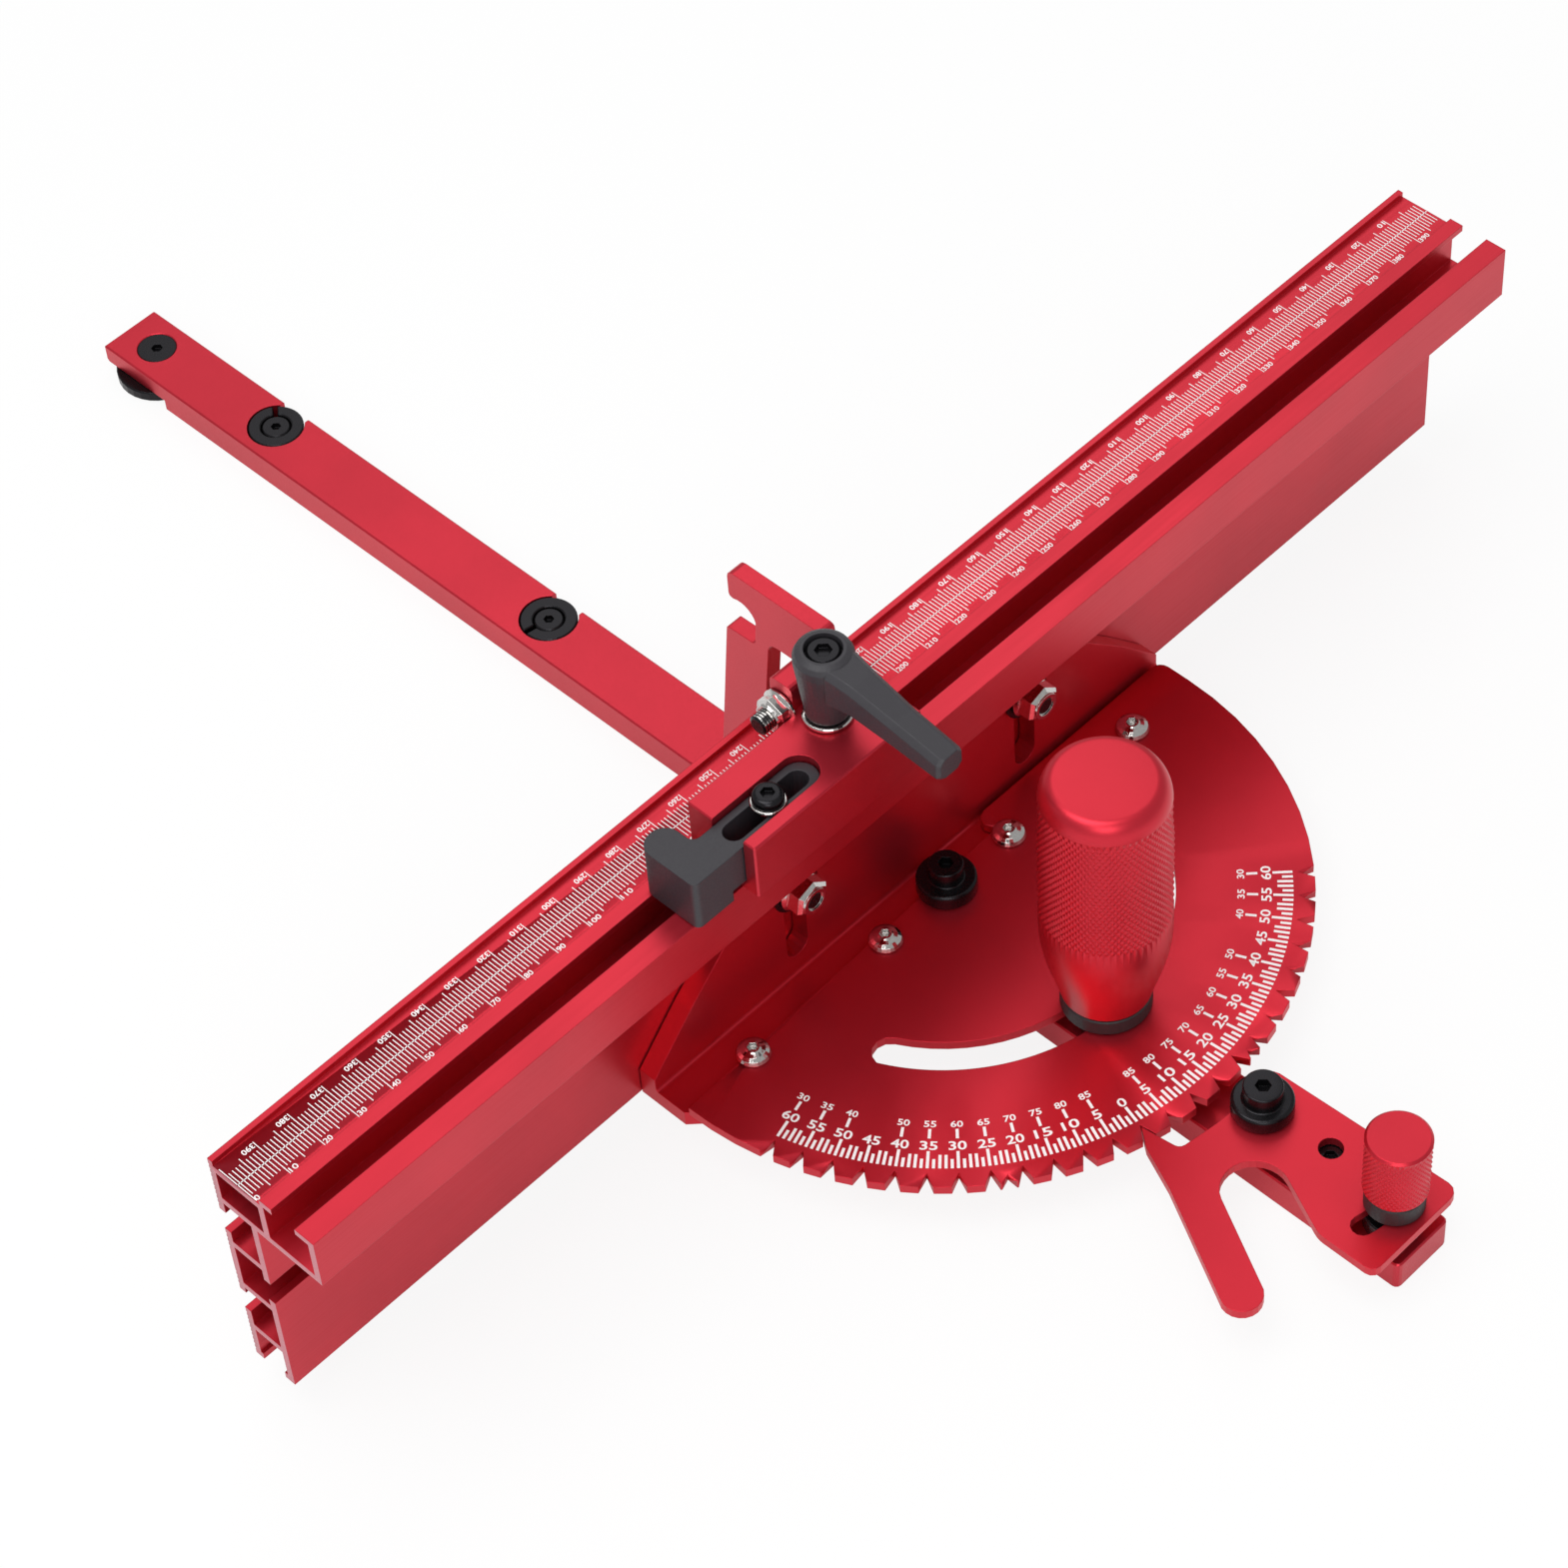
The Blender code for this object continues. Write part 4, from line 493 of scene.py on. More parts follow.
def lathe(bm, centre, profile, steps, axis="Z", offset=None):
    """Turns radius and height pairs about an axis, and closes the profile where both its ends are open.

    offset moves a point in or out by its angle and height. A face that it bends is split along the deeper
    of its diagonals.
    """
    x, y, z = centre
    rows = []
    reach = {}
    for radius, height in profile:
        row = []
        for i in range(1 if radius <= 0.0 else steps):
            angle = 2.0 * math.pi * i / steps
            out = radius + (offset(angle, height) if offset and radius > 0.0 else 0.0)
            a, b = out * math.cos(angle), out * math.sin(angle)
            point = {
                "Z": (x + a, y + b, z + height),
                "Y": (x + a, y + height, z + b),
                "X": (x + height, y + a, z + b),
            }
            row.append(bm.verts.new(point[axis]))
            reach[row[-1]] = out
        rows.append(row)
    pairs = list(zip(rows, rows[1:]))
    if len(rows[0]) > 1 and len(rows[-1]) > 1:
        pairs.append((rows[-1], rows[0]))
    for low, high in pairs:
        for i in range(steps):
            if len(low) == 1 and len(high) > 1:
                bm.faces.new((low[0], high[i], high[i - 1]))
            elif len(high) == 1 and len(low) > 1:
                bm.faces.new((low[i - 1], low[i], high[0]))
            elif len(low) > 1:
                corners = (low[i - 1], low[i], high[i], high[i - 1])
                out = [reach[v] for v in corners]
                slope = out[0] + out[2] - out[1] - out[3]
                if not offset or abs(slope) < FLAT_ENOUGH:
                    bm.faces.new(corners)
                elif slope < 0.0:
                    bm.faces.new((corners[0], corners[1], corners[2]))
                    bm.faces.new((corners[0], corners[2], corners[3]))
                else:
                    bm.faces.new((corners[0], corners[1], corners[3]))
                    bm.faces.new((corners[1], corners[2], corners[3]))


def prism(bm, outline, low, high, axis="Z"):
    """Raises an outline between two levels along an axis."""
    rings = [[bm.verts.new(PLACES[axis](u, v, w)) for u, v in outline] for w in (low, high)]
    bm.faces.new(rings[0])
    bm.faces.new(list(reversed(rings[1])))
    for i in range(len(outline)):
        bm.faces.new((rings[0][i - 1], rings[0][i], rings[1][i], rings[1][i - 1]))
    return bm


def hexagon(centre, reach, turn):
    """The corners of a hexagon, the first of them turned by an angle in degrees."""
    angles = [math.radians(turn) + 2.0 * math.pi * i / 6 for i in range(6)]
    return [(centre[0] + reach * math.cos(a), centre[1] + reach * math.sin(a)) for a in angles]


def dressed_copy(node, name, body):
    """A copy of a plain part that takes its place, so that it can be shaped further."""
    obj = NODES[node].copy()
    obj.data = NODES[node].data.copy()
    obj.name = name
    bpy.context.scene.collection.objects.link(obj)
    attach(obj, body)
    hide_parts(node)
    return obj


def carve(obj, bm, operation="DIFFERENCE"):
    """Cuts a tool mesh out of an object or joins it on, and keeps the result as its mesh."""
    bmesh.ops.recalc_face_normals(bm, faces=bm.faces)
    mesh = bpy.data.meshes.new("tool")
    bm.to_mesh(mesh)
    bm.free()
    tool = bpy.data.objects.new("tool", mesh)
    bpy.context.scene.collection.objects.link(tool)
    modifier = obj.modifiers.new("carve", "BOOLEAN")
    modifier.object = tool
    modifier.solver = "EXACT"
    modifier.operation = operation
    bpy.context.view_layer.update()
    graph = bpy.context.evaluated_depsgraph_get()
    carved = bpy.data.meshes.new_from_object(obj.evaluated_get(graph))
    obj.modifiers.clear()
    plain = obj.data
    obj.data = carved
    bpy.data.meshes.remove(plain)
    bpy.data.objects.remove(tool)
    carved.shade_smooth()
    carved.set_sharp_from_angle(angle=math.radians(SHARP_ANGLE))


def bar_line(bm, start, end, width, level):
    """A flat printed line between two points in plan."""
    start, end = Vector(start), Vector(end)
    side = (end - start).normalized().orthogonal() * (width / 2)
    corners = (start + side, start - side, end - side, end + side)
    bm.faces.new([bm.verts.new((p.x, p.y, level)) for p in corners])


def numeral(bm, text, height, width, middle, turn, level):
    """A printed number, centred on a point in plan and turned by an angle in degrees."""
    curve = bpy.data.curves.new("numeral", "FONT")
    curve.body = text
    curve.size = height
    curve.resolution_u = 3
    # The printed figures are a little bolder than the built-in typeface.
    curve.offset = height * 0.018
    made = bpy.data.objects.new("numeral", curve)
    bpy.context.scene.collection.objects.link(made)
    bpy.context.view_layer.update()
    graph = bpy.context.evaluated_depsgraph_get()
    mesh = bpy.data.meshes.new_from_object(made.evaluated_get(graph))
    xs = [v.co.x for v in mesh.vertices]
    ys = [v.co.y for v in mesh.vertices]
    centre = Vector(((min(xs) + max(xs)) / 2, (min(ys) + max(ys)) / 2, 0.0))
    wide = width * len(text) / (max(xs) - min(xs))
    tall = height / (max(ys) - min(ys))
    mesh.transform(
        Matrix.Translation((middle[0], middle[1], level))
        @ Matrix.Rotation(math.radians(turn), 4, "Z")
        @ Matrix.Diagonal((wide, tall, 1.0, 1.0))
        @ Matrix.Translation(-centre)
    )
    bm.from_mesh(mesh)
    bpy.data.objects.remove(made)
    bpy.data.meshes.remove(mesh)
    bpy.data.curves.remove(curve)


# Pieces


class MITERGAUGE_OT_finishes(bpy.types.Operator):
    """Give every plain part of the gauge its finish"""

    bl_idname = "mitergauge.finishes"
    bl_label = "Anodise and blacken"

    def execute(self, context):
        for name, obj in NODES.items():
            kind = SLOT_KINDS[slot_of(name)]
            if name in RED_PIECES:
                kind = RED_KINDS[RED_PIECES[name]]
            obj.data.materials.clear()
            obj.data.materials.append(finish(kind))
        return {"FINISHED"}


class MITERGAUGE_OT_fence_rule(bpy.types.Operator):
    """Print the fence's two millimetre rules, one read from each end, on a slightly wider ledge"""

    bl_idname = "mitergauge.fence_rule"
    bl_label = "Print the fence rule"

    def execute(self, context):
        sizes = context.scene.mitergauge_scales
        left = FENCE_LOW.x
        length = FENCE_HIGH.x - left
        # The ledge that carries the rule runs 1.2 mm further towards the track than on the plain solid.
        rail = dressed_copy("fence_rail", "fence_rail_with_wide_ledge", "fence")
        near, far = LEDGE_CUT
        floor, above = FENCE_HIGH.z - LEDGE_DEPTH, FENCE_HIGH.z + CUT_PAST
        outline = [(near, floor), (far, floor), (far, above), (near, above)]
        carve(rail, prism(bmesh.new(), outline, left - CUT_PAST, left + length + CUT_PAST, axis="X"))

        level = floor + PRINT_LIFT
        marks = round(length / MILLIMETRE)
        bm = bmesh.new()
        start, end = left + RULE_MARGIN, left + length - RULE_MARGIN
        bar_line(bm, (start, RULE_MIDDLE), (end, RULE_MIDDLE), sizes.rule_line, level)
        for mark in range(1, marks):
            kind = "ten" if mark % 10 == 0 else "five" if mark % 5 == 0 else "one"
            x = left + mark * MILLIMETRE
            bar_line(bm, (x, RULE_NEAR[kind]), (x, RULE_FAR[kind]), sizes.rule_line, level)
        x = left + sizes.rule_line / 2 + RULE_MARGIN
        bar_line(bm, (x, RULE_EDGE_START), (x, RULE_FAR["ten"]), sizes.rule_line, level)

        # The near numerals count from the left end, and the far ones, turned round, from the right.
        width = sizes.rule_numeral * NUMERAL_WIDTHS["rule"]
        inset = sizes.rule_numeral / 2
        for mark in range(0, marks, 10):
            for text, side in ((str(mark), 1.0), (str(marks - mark), -1.0)):
                if mark == 0 and side < 0:
                    continue
                x = left + mark * MILLIMETRE + side * (NUMERAL_GAP + width * len(text) / 2)
                y, turn = (RULE_NEAR["ten"] + inset, 0.0) if side > 0 else (RULE_FAR["ten"] - inset, 180.0)
                numeral(bm, text, sizes.rule_numeral, width, (x, y), turn, level)
        new_piece("fence_rule_print", bm, "screen printed ink", "fence")
        return {"FINISHED"}


class MITERGAUGE_OT_head_scale(bpy.types.Operator):
    """Print the protractor's degree lines and numbers, and narrow its clamp slot a little"""

    bl_idname = "mitergauge.head_scale"
    bl_label = "Print the head scale"

    def execute(self, context):
        sizes = context.scene.mitergauge_scales
        # The clamp slot is 0.5 mm narrower on its outer side than on the plain solid.
        plate = dressed_copy("protractor_plate", "head_plate_with_close_slot", "head")
        first = SCALE_OFFSET - 90.0 - SLOT_REACH
        count = round(2.0 * SLOT_REACH / SLOT_STEP) + 1
        turns = [math.radians(first + i * SLOT_STEP) for i in range(count)]
        inner, outer = SLOT_RING
        wall = [(inner * math.cos(a), inner * math.sin(a)) for a in turns]
        wall += [(outer * math.cos(a), outer * math.sin(a)) for a in reversed(turns)]
        carve(plate, prism(bmesh.new(), wall, PLATE_LOW.z, PLATE_HIGH.z), "UNION")

        level = PLATE_HIGH.z + PRINT_LIFT
        large, large_width = sizes.head_numeral, sizes.head_numeral * NUMERAL_WIDTHS["large"]
        small, small_width = sizes.head_small, sizes.head_small * NUMERAL_WIDTHS["small"]
        bm = bmesh.new()
        for reading in range(-SCALE_REACH, SCALE_REACH + 1):
            degrees = abs(reading)
            turn = reading + SCALE_OFFSET
            ray = Vector((math.sin(math.radians(turn)), -math.cos(math.radians(turn))))
            bar_line(bm, ray * LINE_INNER[degrees % 5], ray * LINE_OUTER, sizes.head_line, level)
            if degrees % 5:
                continue
            numeral(bm, str(degrees), large, large_width, ray * LARGE_NUMERAL_RADIUS, turn, level)
            # The small numerals are 90 less the large ones. At 0 and 45 there is none.
            if degrees in (0, 45):
                continue
            start, end = SMALL_LINE
            bar_line(bm, ray * start, ray * end, sizes.head_line, level)
            numeral(bm, str(90 - degrees), small, small_width, ray * SMALL_NUMERAL_RADIUS, turn, level)
        new_piece("head_scale_print", bm, "screen printed ink", "head")
        return {"FINISHED"}


# A diamond of the knurling is this much taller than it is wide, and its edges stay sharp above this angle.
DIAMOND_TALL = 1.5
KNURL_SHARP = 24.0


def knurl(radius, pitch, depth, low, high):
    """How far each point of a diamond knurl is sunk, the number of points round it, and their heights.

    Two crossed sets of grooves leave pyramids. The points lie on a crossing and on a pyramid's tip in
    turn, and lathe splits each face along its deeper diagonal, so the grooves run straight.
    """
    count = round(2.0 * math.pi * radius / pitch)
    rows = 2 * round((high - low) / (pitch * DIAMOND_TALL))
    step = (high - low) / rows
    heights = [low + step * row for row in range(rows + 1)]

    def offset(angle, height):
        if not low - step / 2 < height < high + step / 2:
            return 0.0
        turn = round(angle * count / math.pi)
        row = round((height - low) / step)
        return -depth if (turn + row) % 2 else 0.0

    return offset, count * 2, heights


class MITERGAUGE_OT_grip(bpy.types.Operator):
    """Turn the clamp handle with its diamond knurl"""

    bl_idname = "mitergauge.grip"
    bl_label = "Turn the grip"

    def execute(self, context):
        sizes = context.scene.mitergauge_grips
        centre = (GRIP_LOW + GRIP_HIGH) / 2
        foot, top = GRIP_LOW.z, GRIP_HIGH.z
        # The grip is 0.1 mm fuller than the plain solid, and its palm swell by another 0.4 mm. The swell
        # dies out below the level of the stop block, which passes close by when the head is swung.
        radius = (GRIP_HIGH.x - GRIP_LOW.x) / 2 + 0.0001
        palm, palm_end, palm_fade = 0.0004, 0.0835, 0.0060
        recess, recess_radius = 0.001, 0.0040
        waist, rise = radius - 0.0043, 0.0248
        profile = [
            (0.0, foot + recess), (recess_radius, foot + recess), (recess_radius, foot),
            (waist - 0.0004, foot), (waist, foot + 0.0005),
        ]
        for i in range(1, 13):
            share = i / 12.0
            swell = math.sin(math.radians(90.0 * share)) ** 1.25
            profile.append((waist + (radius + palm - waist) * swell, foot + rise * share))
        offset, steps, heights = knurl(
            radius, sizes.knurl_pitch, sizes.knurl_depth, sizes.knurl_low, sizes.knurl_high
        )
        for height in heights:
            share = min(1.0, max(0.0, (palm_end - height) / palm_fade))
            profile.append((radius + palm * share, height))
        crown, crown_height, drop = 0.0115, top - 0.0003, 0.0060
        for i in range(15):
            bend = math.radians(90.0 * i / 14)
            out = crown + (radius - crown) * math.cos(bend)
            profile.append((out, crown_height - drop * (1.0 - math.sin(bend))))
        profile += [(crown * 0.5, top - 0.0001), (0.0, top)]
        bm = bmesh.new()
        lathe(bm, (centre.x, centre.y, 0.0), profile, steps=steps, offset=offset)
        piece = new_piece("knurled_grip", bm, "turned anodised aluminium", "handle", KNURL_SHARP)
        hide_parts("clamp_handle")
        return {"FINISHED"}


class MITERGAUGE_OT_lock_knob(bpy.types.Operator):
    """Turn the small knurled knob that locks the index plate"""

    bl_idname = "mitergauge.lock_knob"
    bl_label = "Turn the lock knob"

    def execute(self, context):
        centre = (KNOB_LOW + KNOB_HIGH) / 2
        foot, top = KNOB_LOW.z, KNOB_HIGH.z
        radius = (KNOB_HIGH.x - KNOB_LOW.x) / 2 + 0.0002
        pitch, depth, chamfer = 0.0012, 0.00028, 0.0006
        recess, recess_radius = 0.001, 0.0028
        offset, steps, heights = knurl(radius, pitch, depth, foot + 0.0014, top - 0.0016)
        profile = [
            (0.0, foot + recess), (recess_radius, foot + recess), (recess_radius, foot),
            (radius - 0.0010, foot), (radius - 0.0002, foot + 0.0008),
        ]
        profile += [(radius, height) for height in heights]
        profile += [(radius, top - chamfer), (radius - chamfer, top), (0.0, top)]
        bm = bmesh.new()
        lathe(bm, (centre.x, centre.y, 0.0), profile, steps=steps, offset=offset)
        piece = new_piece("knurled_lock_knob", bm, "turned anodised aluminium", "knob", KNURL_SHARP)
        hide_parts("lock_knob")
        return {"FINISHED"}


def stand_of(node):
    """Where the axis of a plain upright piece stands in plan."""
    low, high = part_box(node)
    return (low.x + high.x) / 2, (low.y + high.y) / 2


class MITERGAUGE_OT_cap_screws(bpy.types.Operator):
    """Turn the black cap screws: the two pivots, the finger's screw and the index stop"""

    bl_idname = "mitergauge.cap_screws"
    bl_label = "Turn the cap screws"

    def execute(self, context):
        seat = PLATE_HIGH.z + 0.0003
        step = seat + 0.0042
        shank = 0.0039
        for node, cap in (("pivot_screw", 0.0043), ("index_screw", 0.0048)):
            low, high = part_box(node)
            collar = (high.x - low.x) / 2
            profile = softened([
                (0.0, low.z, 0.0), (shank, low.z, 0.0), (shank, seat, 0.0), (collar, seat, 0.0003),
                (collar, step, 0.0009), (cap, step, 0.0004), (cap, high.z, 0.0004), (0.0, high.z, 0.0),
            ], 5)
            self.turn_screw(node, node + "_turned", profile, steps=72, key=0.0034, depth=0.0026)

        low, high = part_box("finger_screw")
        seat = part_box("finger_washer")[1].z + 0.00002
        shank, cap = 0.0022, 0.0038
        profile = softened([
            (0.0, low.z, 0.0), (shank, low.z, 0.0), (shank, seat, 0.0), (cap, seat, 0.0002),
            (cap, high.z, 0.0013), (0.0, high.z, 0.0),
        ], 6)
        self.turn_screw("finger_screw", "finger_cap_screw", profile, steps=56, key=0.0030, depth=0.0014)

        # The stop screw's head fills the view through the peep hole, and its bright edge glints there.
        x, y = stand_of("index_stop_screw")
        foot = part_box("index_stop_screw")[0].z
        seat, top = BAR_TOP + 0.0002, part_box("index_plate")[0].z - 0.0004
        shank, cap, chamfer = 0.0022, 0.0050, 0.0004
        profile = [
            (0.0, foot), (shank, foot), (shank, seat), (cap, seat), (cap, top - 0.0005),
            (cap - chamfer, top), (0.0, top),
        ]
        self.turn_screw(
            "index_stop_screw", "index_stop_cap_screw", profile, steps=56, key=0.0030, depth=0.0016
        )
        bm = bmesh.new()
        rim = [(0.0047, top - 0.0006), (0.0052, top - 0.0006), (cap, top + 0.0001), (0.0047, top + 0.0001)]
        lathe(bm, (x, y, 0.0), rim, 56)
        body = body_of("index_stop_screw")
        new_piece("index_stop_rim", bm, "polished stainless steel", body, SCREW_SHARP)
        return {"FINISHED"}

    def turn_screw(self, node, name, profile, steps, key, depth):
        """Turns a screw in place of a plain one, and cuts a hexagonal key socket down into its head."""
        x, y = stand_of(node)
        top = profile[-1][1]
        bm = bmesh.new()
        lathe(bm, (x, y, 0.0), profile, steps)
        piece = new_piece(name, bm, "black oxide steel", body_of(node), SCREW_SHARP)
        socket = hexagon((x, y), key / math.sqrt(3.0), KEY_TURN)
        carve(piece, prism(bmesh.new(), socket, top - depth, top + 0.001))
        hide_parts(node)


class MITERGAUGE_OT_nuts(bpy.types.Operator):
    """Make the bright flanged nuts of the fence and of the flip arm, and the flip bolt's thread"""

    bl_idname = "mitergauge.nuts"
    bl_label = "Fit the nuts"

    def execute(self, context):
        for side in ("left", "right"):
            node = "fence_nut_" + side
            low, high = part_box(node)
            x, z = (low.x + high.x) / 2, (low.z + high.z) / 2
            self.flanged_nut(
                node, (x, z), back=high.y, front=low.y - 0.0014, flange=0.0058, corners=0.0052, bore=0.0026,
                axis="Y",
            )
            tip, root = low.y - 0.0015, high.y - 0.001
            shank, chamfer = 0.0025, 0.0005
            profile = [
                (0.0, tip), (shank - chamfer, tip), (shank, tip + chamfer), (shank, root), (0.0, root),
            ]
            bm = bmesh.new()
            lathe(bm, (x, 0.0, z), profile, 40, axis="Y")
            new_piece("fence_bolt_end_" + side, bm, "black oxide steel", body_of(node))

        low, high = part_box("flip_nut")
        y, z = (low.y + high.y) / 2, (low.z + high.z) / 2
        self.flanged_nut(
            "flip_nut", (y, z), back=high.x, front=low.x - 0.0006, flange=0.0050, corners=0.0046,
            bore=0.0024, axis="X",
        )
        # The thread is M5, with a pitch of 0.8 mm. Five turns of it are drawn, from the bolt's tip on.
        pitch, crest, root, turns = 0.0008, 0.0026, 0.0021, 5
        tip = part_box("flip_bolt")[0].x - 0.0001
        profile = [(0.0, tip), (crest - 0.0006, tip)]
        for i in range(turns):
            profile += [(crest, tip + pitch * (i + 0.5)), (root, tip + pitch * (i + 1.0))]
        profile.append((0.0, tip + pitch * turns))
        bm = bmesh.new()
        lathe(bm, (0.0, y, z), profile, 40, axis="X")
        new_piece("flip_bolt_thread", bm, "black oxide steel", body_of("flip_nut"), smooth=20.0)
        return {"FINISHED"}

    def flanged_nut(self, node, centre, back, front, flange, corners, bore, axis):
        """Puts a flanged hexagon nut, with a chamfered front and a raised ring, in a plain one's place."""
        u, v = centre
        middle = (0.0, u, v) if axis == "X" else (u, 0.0, v)
        thick, chamfer = 0.0011, 0.0005
        profile = [
            (bore, back), (flange, back), (flange, back - chamfer), (flange - 0.0008, back - thick),
            (bore, back - thick),
        ]
        bm = bmesh.new()
        lathe(bm, middle, profile, 64, axis=axis)
        rings = []
        for reach, level in (
            (corners, back - 0.0009), (corners, front + 0.0011), (corners * 0.84, front + 0.0002)
        ):
            points = hexagon(centre, reach, NUT_TURN)
            rings.append([bm.verts.new(PLACES[axis](a, b, level)) for a, b in points])
        for near, far in zip(rings, rings[1:]):
            for i in range(6):
                bm.faces.new((near[i - 1], near[i], far[i], far[i - 1]))
        bm.faces.new(rings[0])
        bm.faces.new(rings[-1])
        rim = [
            (bore, front + 0.0004), (bore + 0.0012, front + 0.0004), (bore + 0.0010, front - 0.0003),
            (bore, front - 0.0003),
        ]
        lathe(bm, middle, rim, 48, axis=axis)
        piece = new_piece(node + "_flanged", bm, "polished stainless steel", body_of(node), smooth=25.0)
        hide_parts(node)


# Studio


class MITERGAUGE_OT_studio(bpy.types.Operator):
    """Set the floor, the lamps, the sky and the camera"""

    bl_idname = "mitergauge.studio"
    bl_label = "Set the studio"

    def execute(self, context):
        scene = context.scene
        sizes = scene.mitergauge_studio
        self.lay_floor(scene, sizes)
        self.hang_lamps(scene, sizes)
        self.light_sky(scene, sizes)
        self.set_camera(scene, sizes)
        scene.view_settings.view_transform = "Standard"
        return {"FINISHED"}

    def lay_floor(self, scene, sizes):
        """A wide pale floor that keeps a soft shadow, and glows a little so that it looks white."""
        mesh = bpy.data.meshes.new("floor")
        reach = 6.0
        corners = [(-reach, -reach, 0.0), (reach, -reach, 0.0), (reach, reach, 0.0), (-reach, reach, 0.0)]
        mesh.from_pydata(corners, [], [(0, 1, 2, 3)])
        floor = bpy.data.objects.new("floor", mesh)
        # A hair below the bar's underside, so that the two don't flicker into each other
        floor.location.z = -0.00005
        scene.collection.objects.link(floor)
        material = bpy.data.materials.new("matt white paper")
        material.use_nodes = True
        tree = material.node_tree
        tree.nodes.clear()
        paper = add(tree, "ShaderNodeBsdfDiffuse", {"Color": linear(sizes.floor)})
        glow = add(tree, "ShaderNodeEmission", {"Color": (1.0, 1.0, 1.0, 1.0), "Strength": 1.0})
        path = add(tree, "ShaderNodeLightPath")
        seen = add(
            tree,
            "ShaderNodeMath",
            {0: path.outputs["Is Camera Ray"], 1: path.outputs["Is Glossy Ray"]},
            operation="MAXIMUM",
        )
        # White is mixed in, more where the camera sees the floor than where metal mirrors it.
        white = add(
            tree,
            "ShaderNodeMapRange",
            {"Value": path.outputs["Is Glossy Ray"], "To Min": 0.88, "To Max": 0.36},
        )
        share = add(
            tree,
            "ShaderNodeMath",
            {0: seen.outputs["Value"], 1: white.outputs["Result"]},
            operation="MULTIPLY",
        )
        mixed = add(
            tree,
            "ShaderNodeMixShader",
            {"Fac": share.outputs["Value"], 1: paper.outputs["BSDF"], 2: glow.outputs["Emission"]},
        )
        add(tree, "ShaderNodeOutputMaterial", {"Surface": mixed.outputs["Shader"]})
        mesh.materials.append(material)

    def hang_lamps(self, scene, sizes):
        """A soft lamp beyond the fence, which level faces mirror, one above, and one on the near side."""
        lamps = (
            ("top_lamp", sizes.top_lamp, 1.1, (0.85, 0.95, 1.65), (0.0, 0.05, 0.0)),
            ("overhead_lamp", sizes.overhead_lamp, 1.0, (-0.45, 0.10, 1.45), (0.0, 0.05, 0.0)),
            ("side_lamp", sizes.side_lamp, 0.8, (-1.0, -0.95, 0.95), (0.0, 0.0, 0.04)),
        )
        for name, power, size, place, target in lamps:
            light = bpy.data.lights.new(name, "AREA")
            light.shape = "SQUARE"
            light.size = size
            light.energy = power
            lamp = bpy.data.objects.new(name, light)
            lamp.location = place
            aim = Vector(target) - Vector(place)
            lamp.rotation_euler = aim.to_track_quat("-Z", "Y").to_euler()
            scene.collection.objects.link(lamp)

    def light_sky(self, scene, sizes):
        """Even light from all round, which the camera sees as white."""
        world = bpy.data.worlds.new("white room")
        world.use_nodes = True
        tree = world.node_tree
        tree.nodes.clear()
        path = add(tree, "ShaderNodeLightPath")
        seen = add(
            tree,
            "ShaderNodeMath",
            {0: path.outputs["Is Camera Ray"], 1: path.outputs["Is Transmission Ray"]},
            operation="MAXIMUM",
        )
        strength = add(
            tree,
            "ShaderNodeMapRange",
            {"Value": seen.outputs["Value"], "To Min": sizes.sky, "To Max": 1.0},
        )
        glow = add(
            tree,
            "ShaderNodeBackground",
            {"Color": (1.0, 1.0, 1.0, 1.0), "Strength": strength.outputs["Result"]},
        )
        add(tree, "ShaderNodeOutputWorld", {"Surface": glow.outputs["Background"]})
        scene.world = world

    def set_camera(self, scene, sizes):
        """The camera over the operator's left shoulder, with the fence running up to the right."""
        # The directions in which the picture's right, its top and the camera's own back point
        right = Vector((0.695039, -0.716788, -0.055992))
        above = Vector((0.573703, 0.505982, 0.644086))
        back = Vector((-0.433342, -0.479788, 0.762901))
        data = bpy.data.cameras.new("camera")
        data.sensor_width = 36.0
        data.lens = sizes.lens
        data.clip_start = 0.05
        camera = bpy.data.objects.new("camera", data)
        turn = Matrix((right, above, back)).transposed()
        camera.matrix_world = Matrix.Translation((-0.503164, -0.502003, 0.897699)) @ turn.to_4x4()
        scene.collection.objects.link(camera)
        scene.camera = camera


class MITERGAUGE_PT_panel(bpy.types.Panel):
    """The steps that dress the gauge, in order"""

    bl_idname = "MITERGAUGE_PT_panel"
    bl_label = "Miter gauge"
    bl_space_type = "VIEW_3D"
    bl_region_type = "UI"
    bl_category = "Miter gauge"

    def draw(self, context):
        for operator in OPERATORS:
            self.layout.operator(operator.bl_idname)
        for group in ("mitergauge_finish", "mitergauge_scales", "mitergauge_grips", "mitergauge_studio"):
            settings = getattr(context.scene, group)
            box = self.layout.box()
            for name in settings.__annotations__:
                box.prop(settings, name)


GROUPS = {
    "mitergauge_finish": MITERGAUGE_PG_finish,
    "mitergauge_scales": MITERGAUGE_PG_scales,
    "mitergauge_grips": MITERGAUGE_PG_grips,
    "mitergauge_studio": MITERGAUGE_PG_studio,
}

OPERATORS = (
    MITERGAUGE_OT_studio,
    MITERGAUGE_OT_finishes,
    MITERGAUGE_OT_grip,
    MITERGAUGE_OT_lock_knob,
    MITERGAUGE_OT_cap_screws,
    MITERGAUGE_OT_nuts,
    MITERGAUGE_OT_head_scale,
    MITERGAUGE_OT_fence_rule,
)


def register():
    """Adds the settings, the steps and the panel."""
    for name, group in GROUPS.items():
        bpy.utils.register_class(group)
        setattr(bpy.types.Scene, name, bpy.props.PointerProperty(type=group))
    for operator in OPERATORS:
        bpy.utils.register_class(operator)
    bpy.utils.register_class(MITERGAUGE_PT_panel)


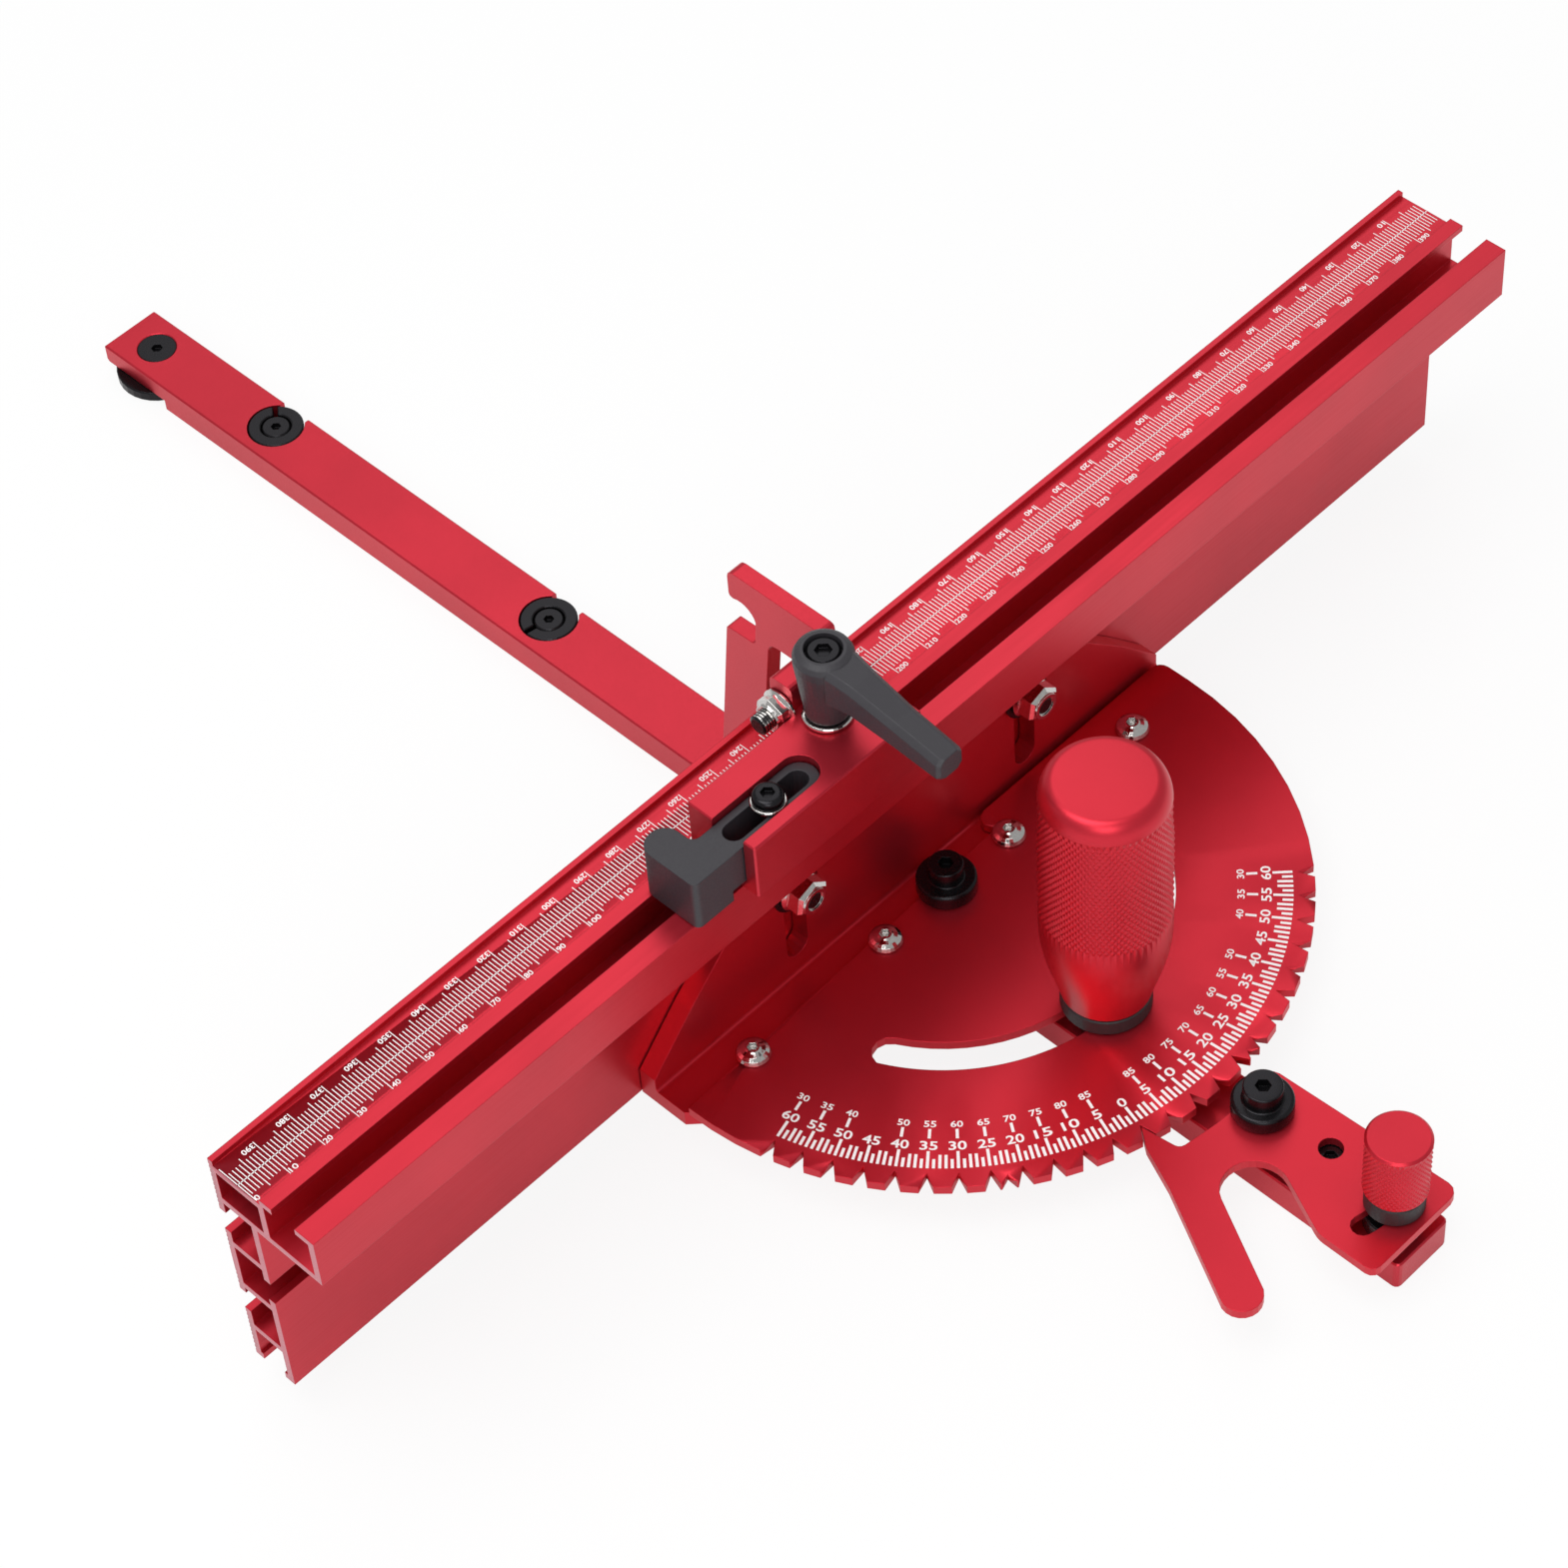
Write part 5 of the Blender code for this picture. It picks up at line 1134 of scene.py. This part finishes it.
def unregister():
    """Removes them again."""
    bpy.utils.unregister_class(MITERGAUGE_PT_panel)
    for operator in reversed(OPERATORS):
        bpy.utils.unregister_class(operator)
    for name, group in reversed(GROUPS.items()):
        delattr(bpy.types.Scene, name)
        bpy.utils.unregister_class(group)


def main():
    """Dresses the gauge."""
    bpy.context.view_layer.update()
    register()
    for operator in OPERATORS:
        group, step = operator.bl_idname.split(".")
        getattr(getattr(bpy.ops, group), step)()


if __name__ == "__main__":
    main()
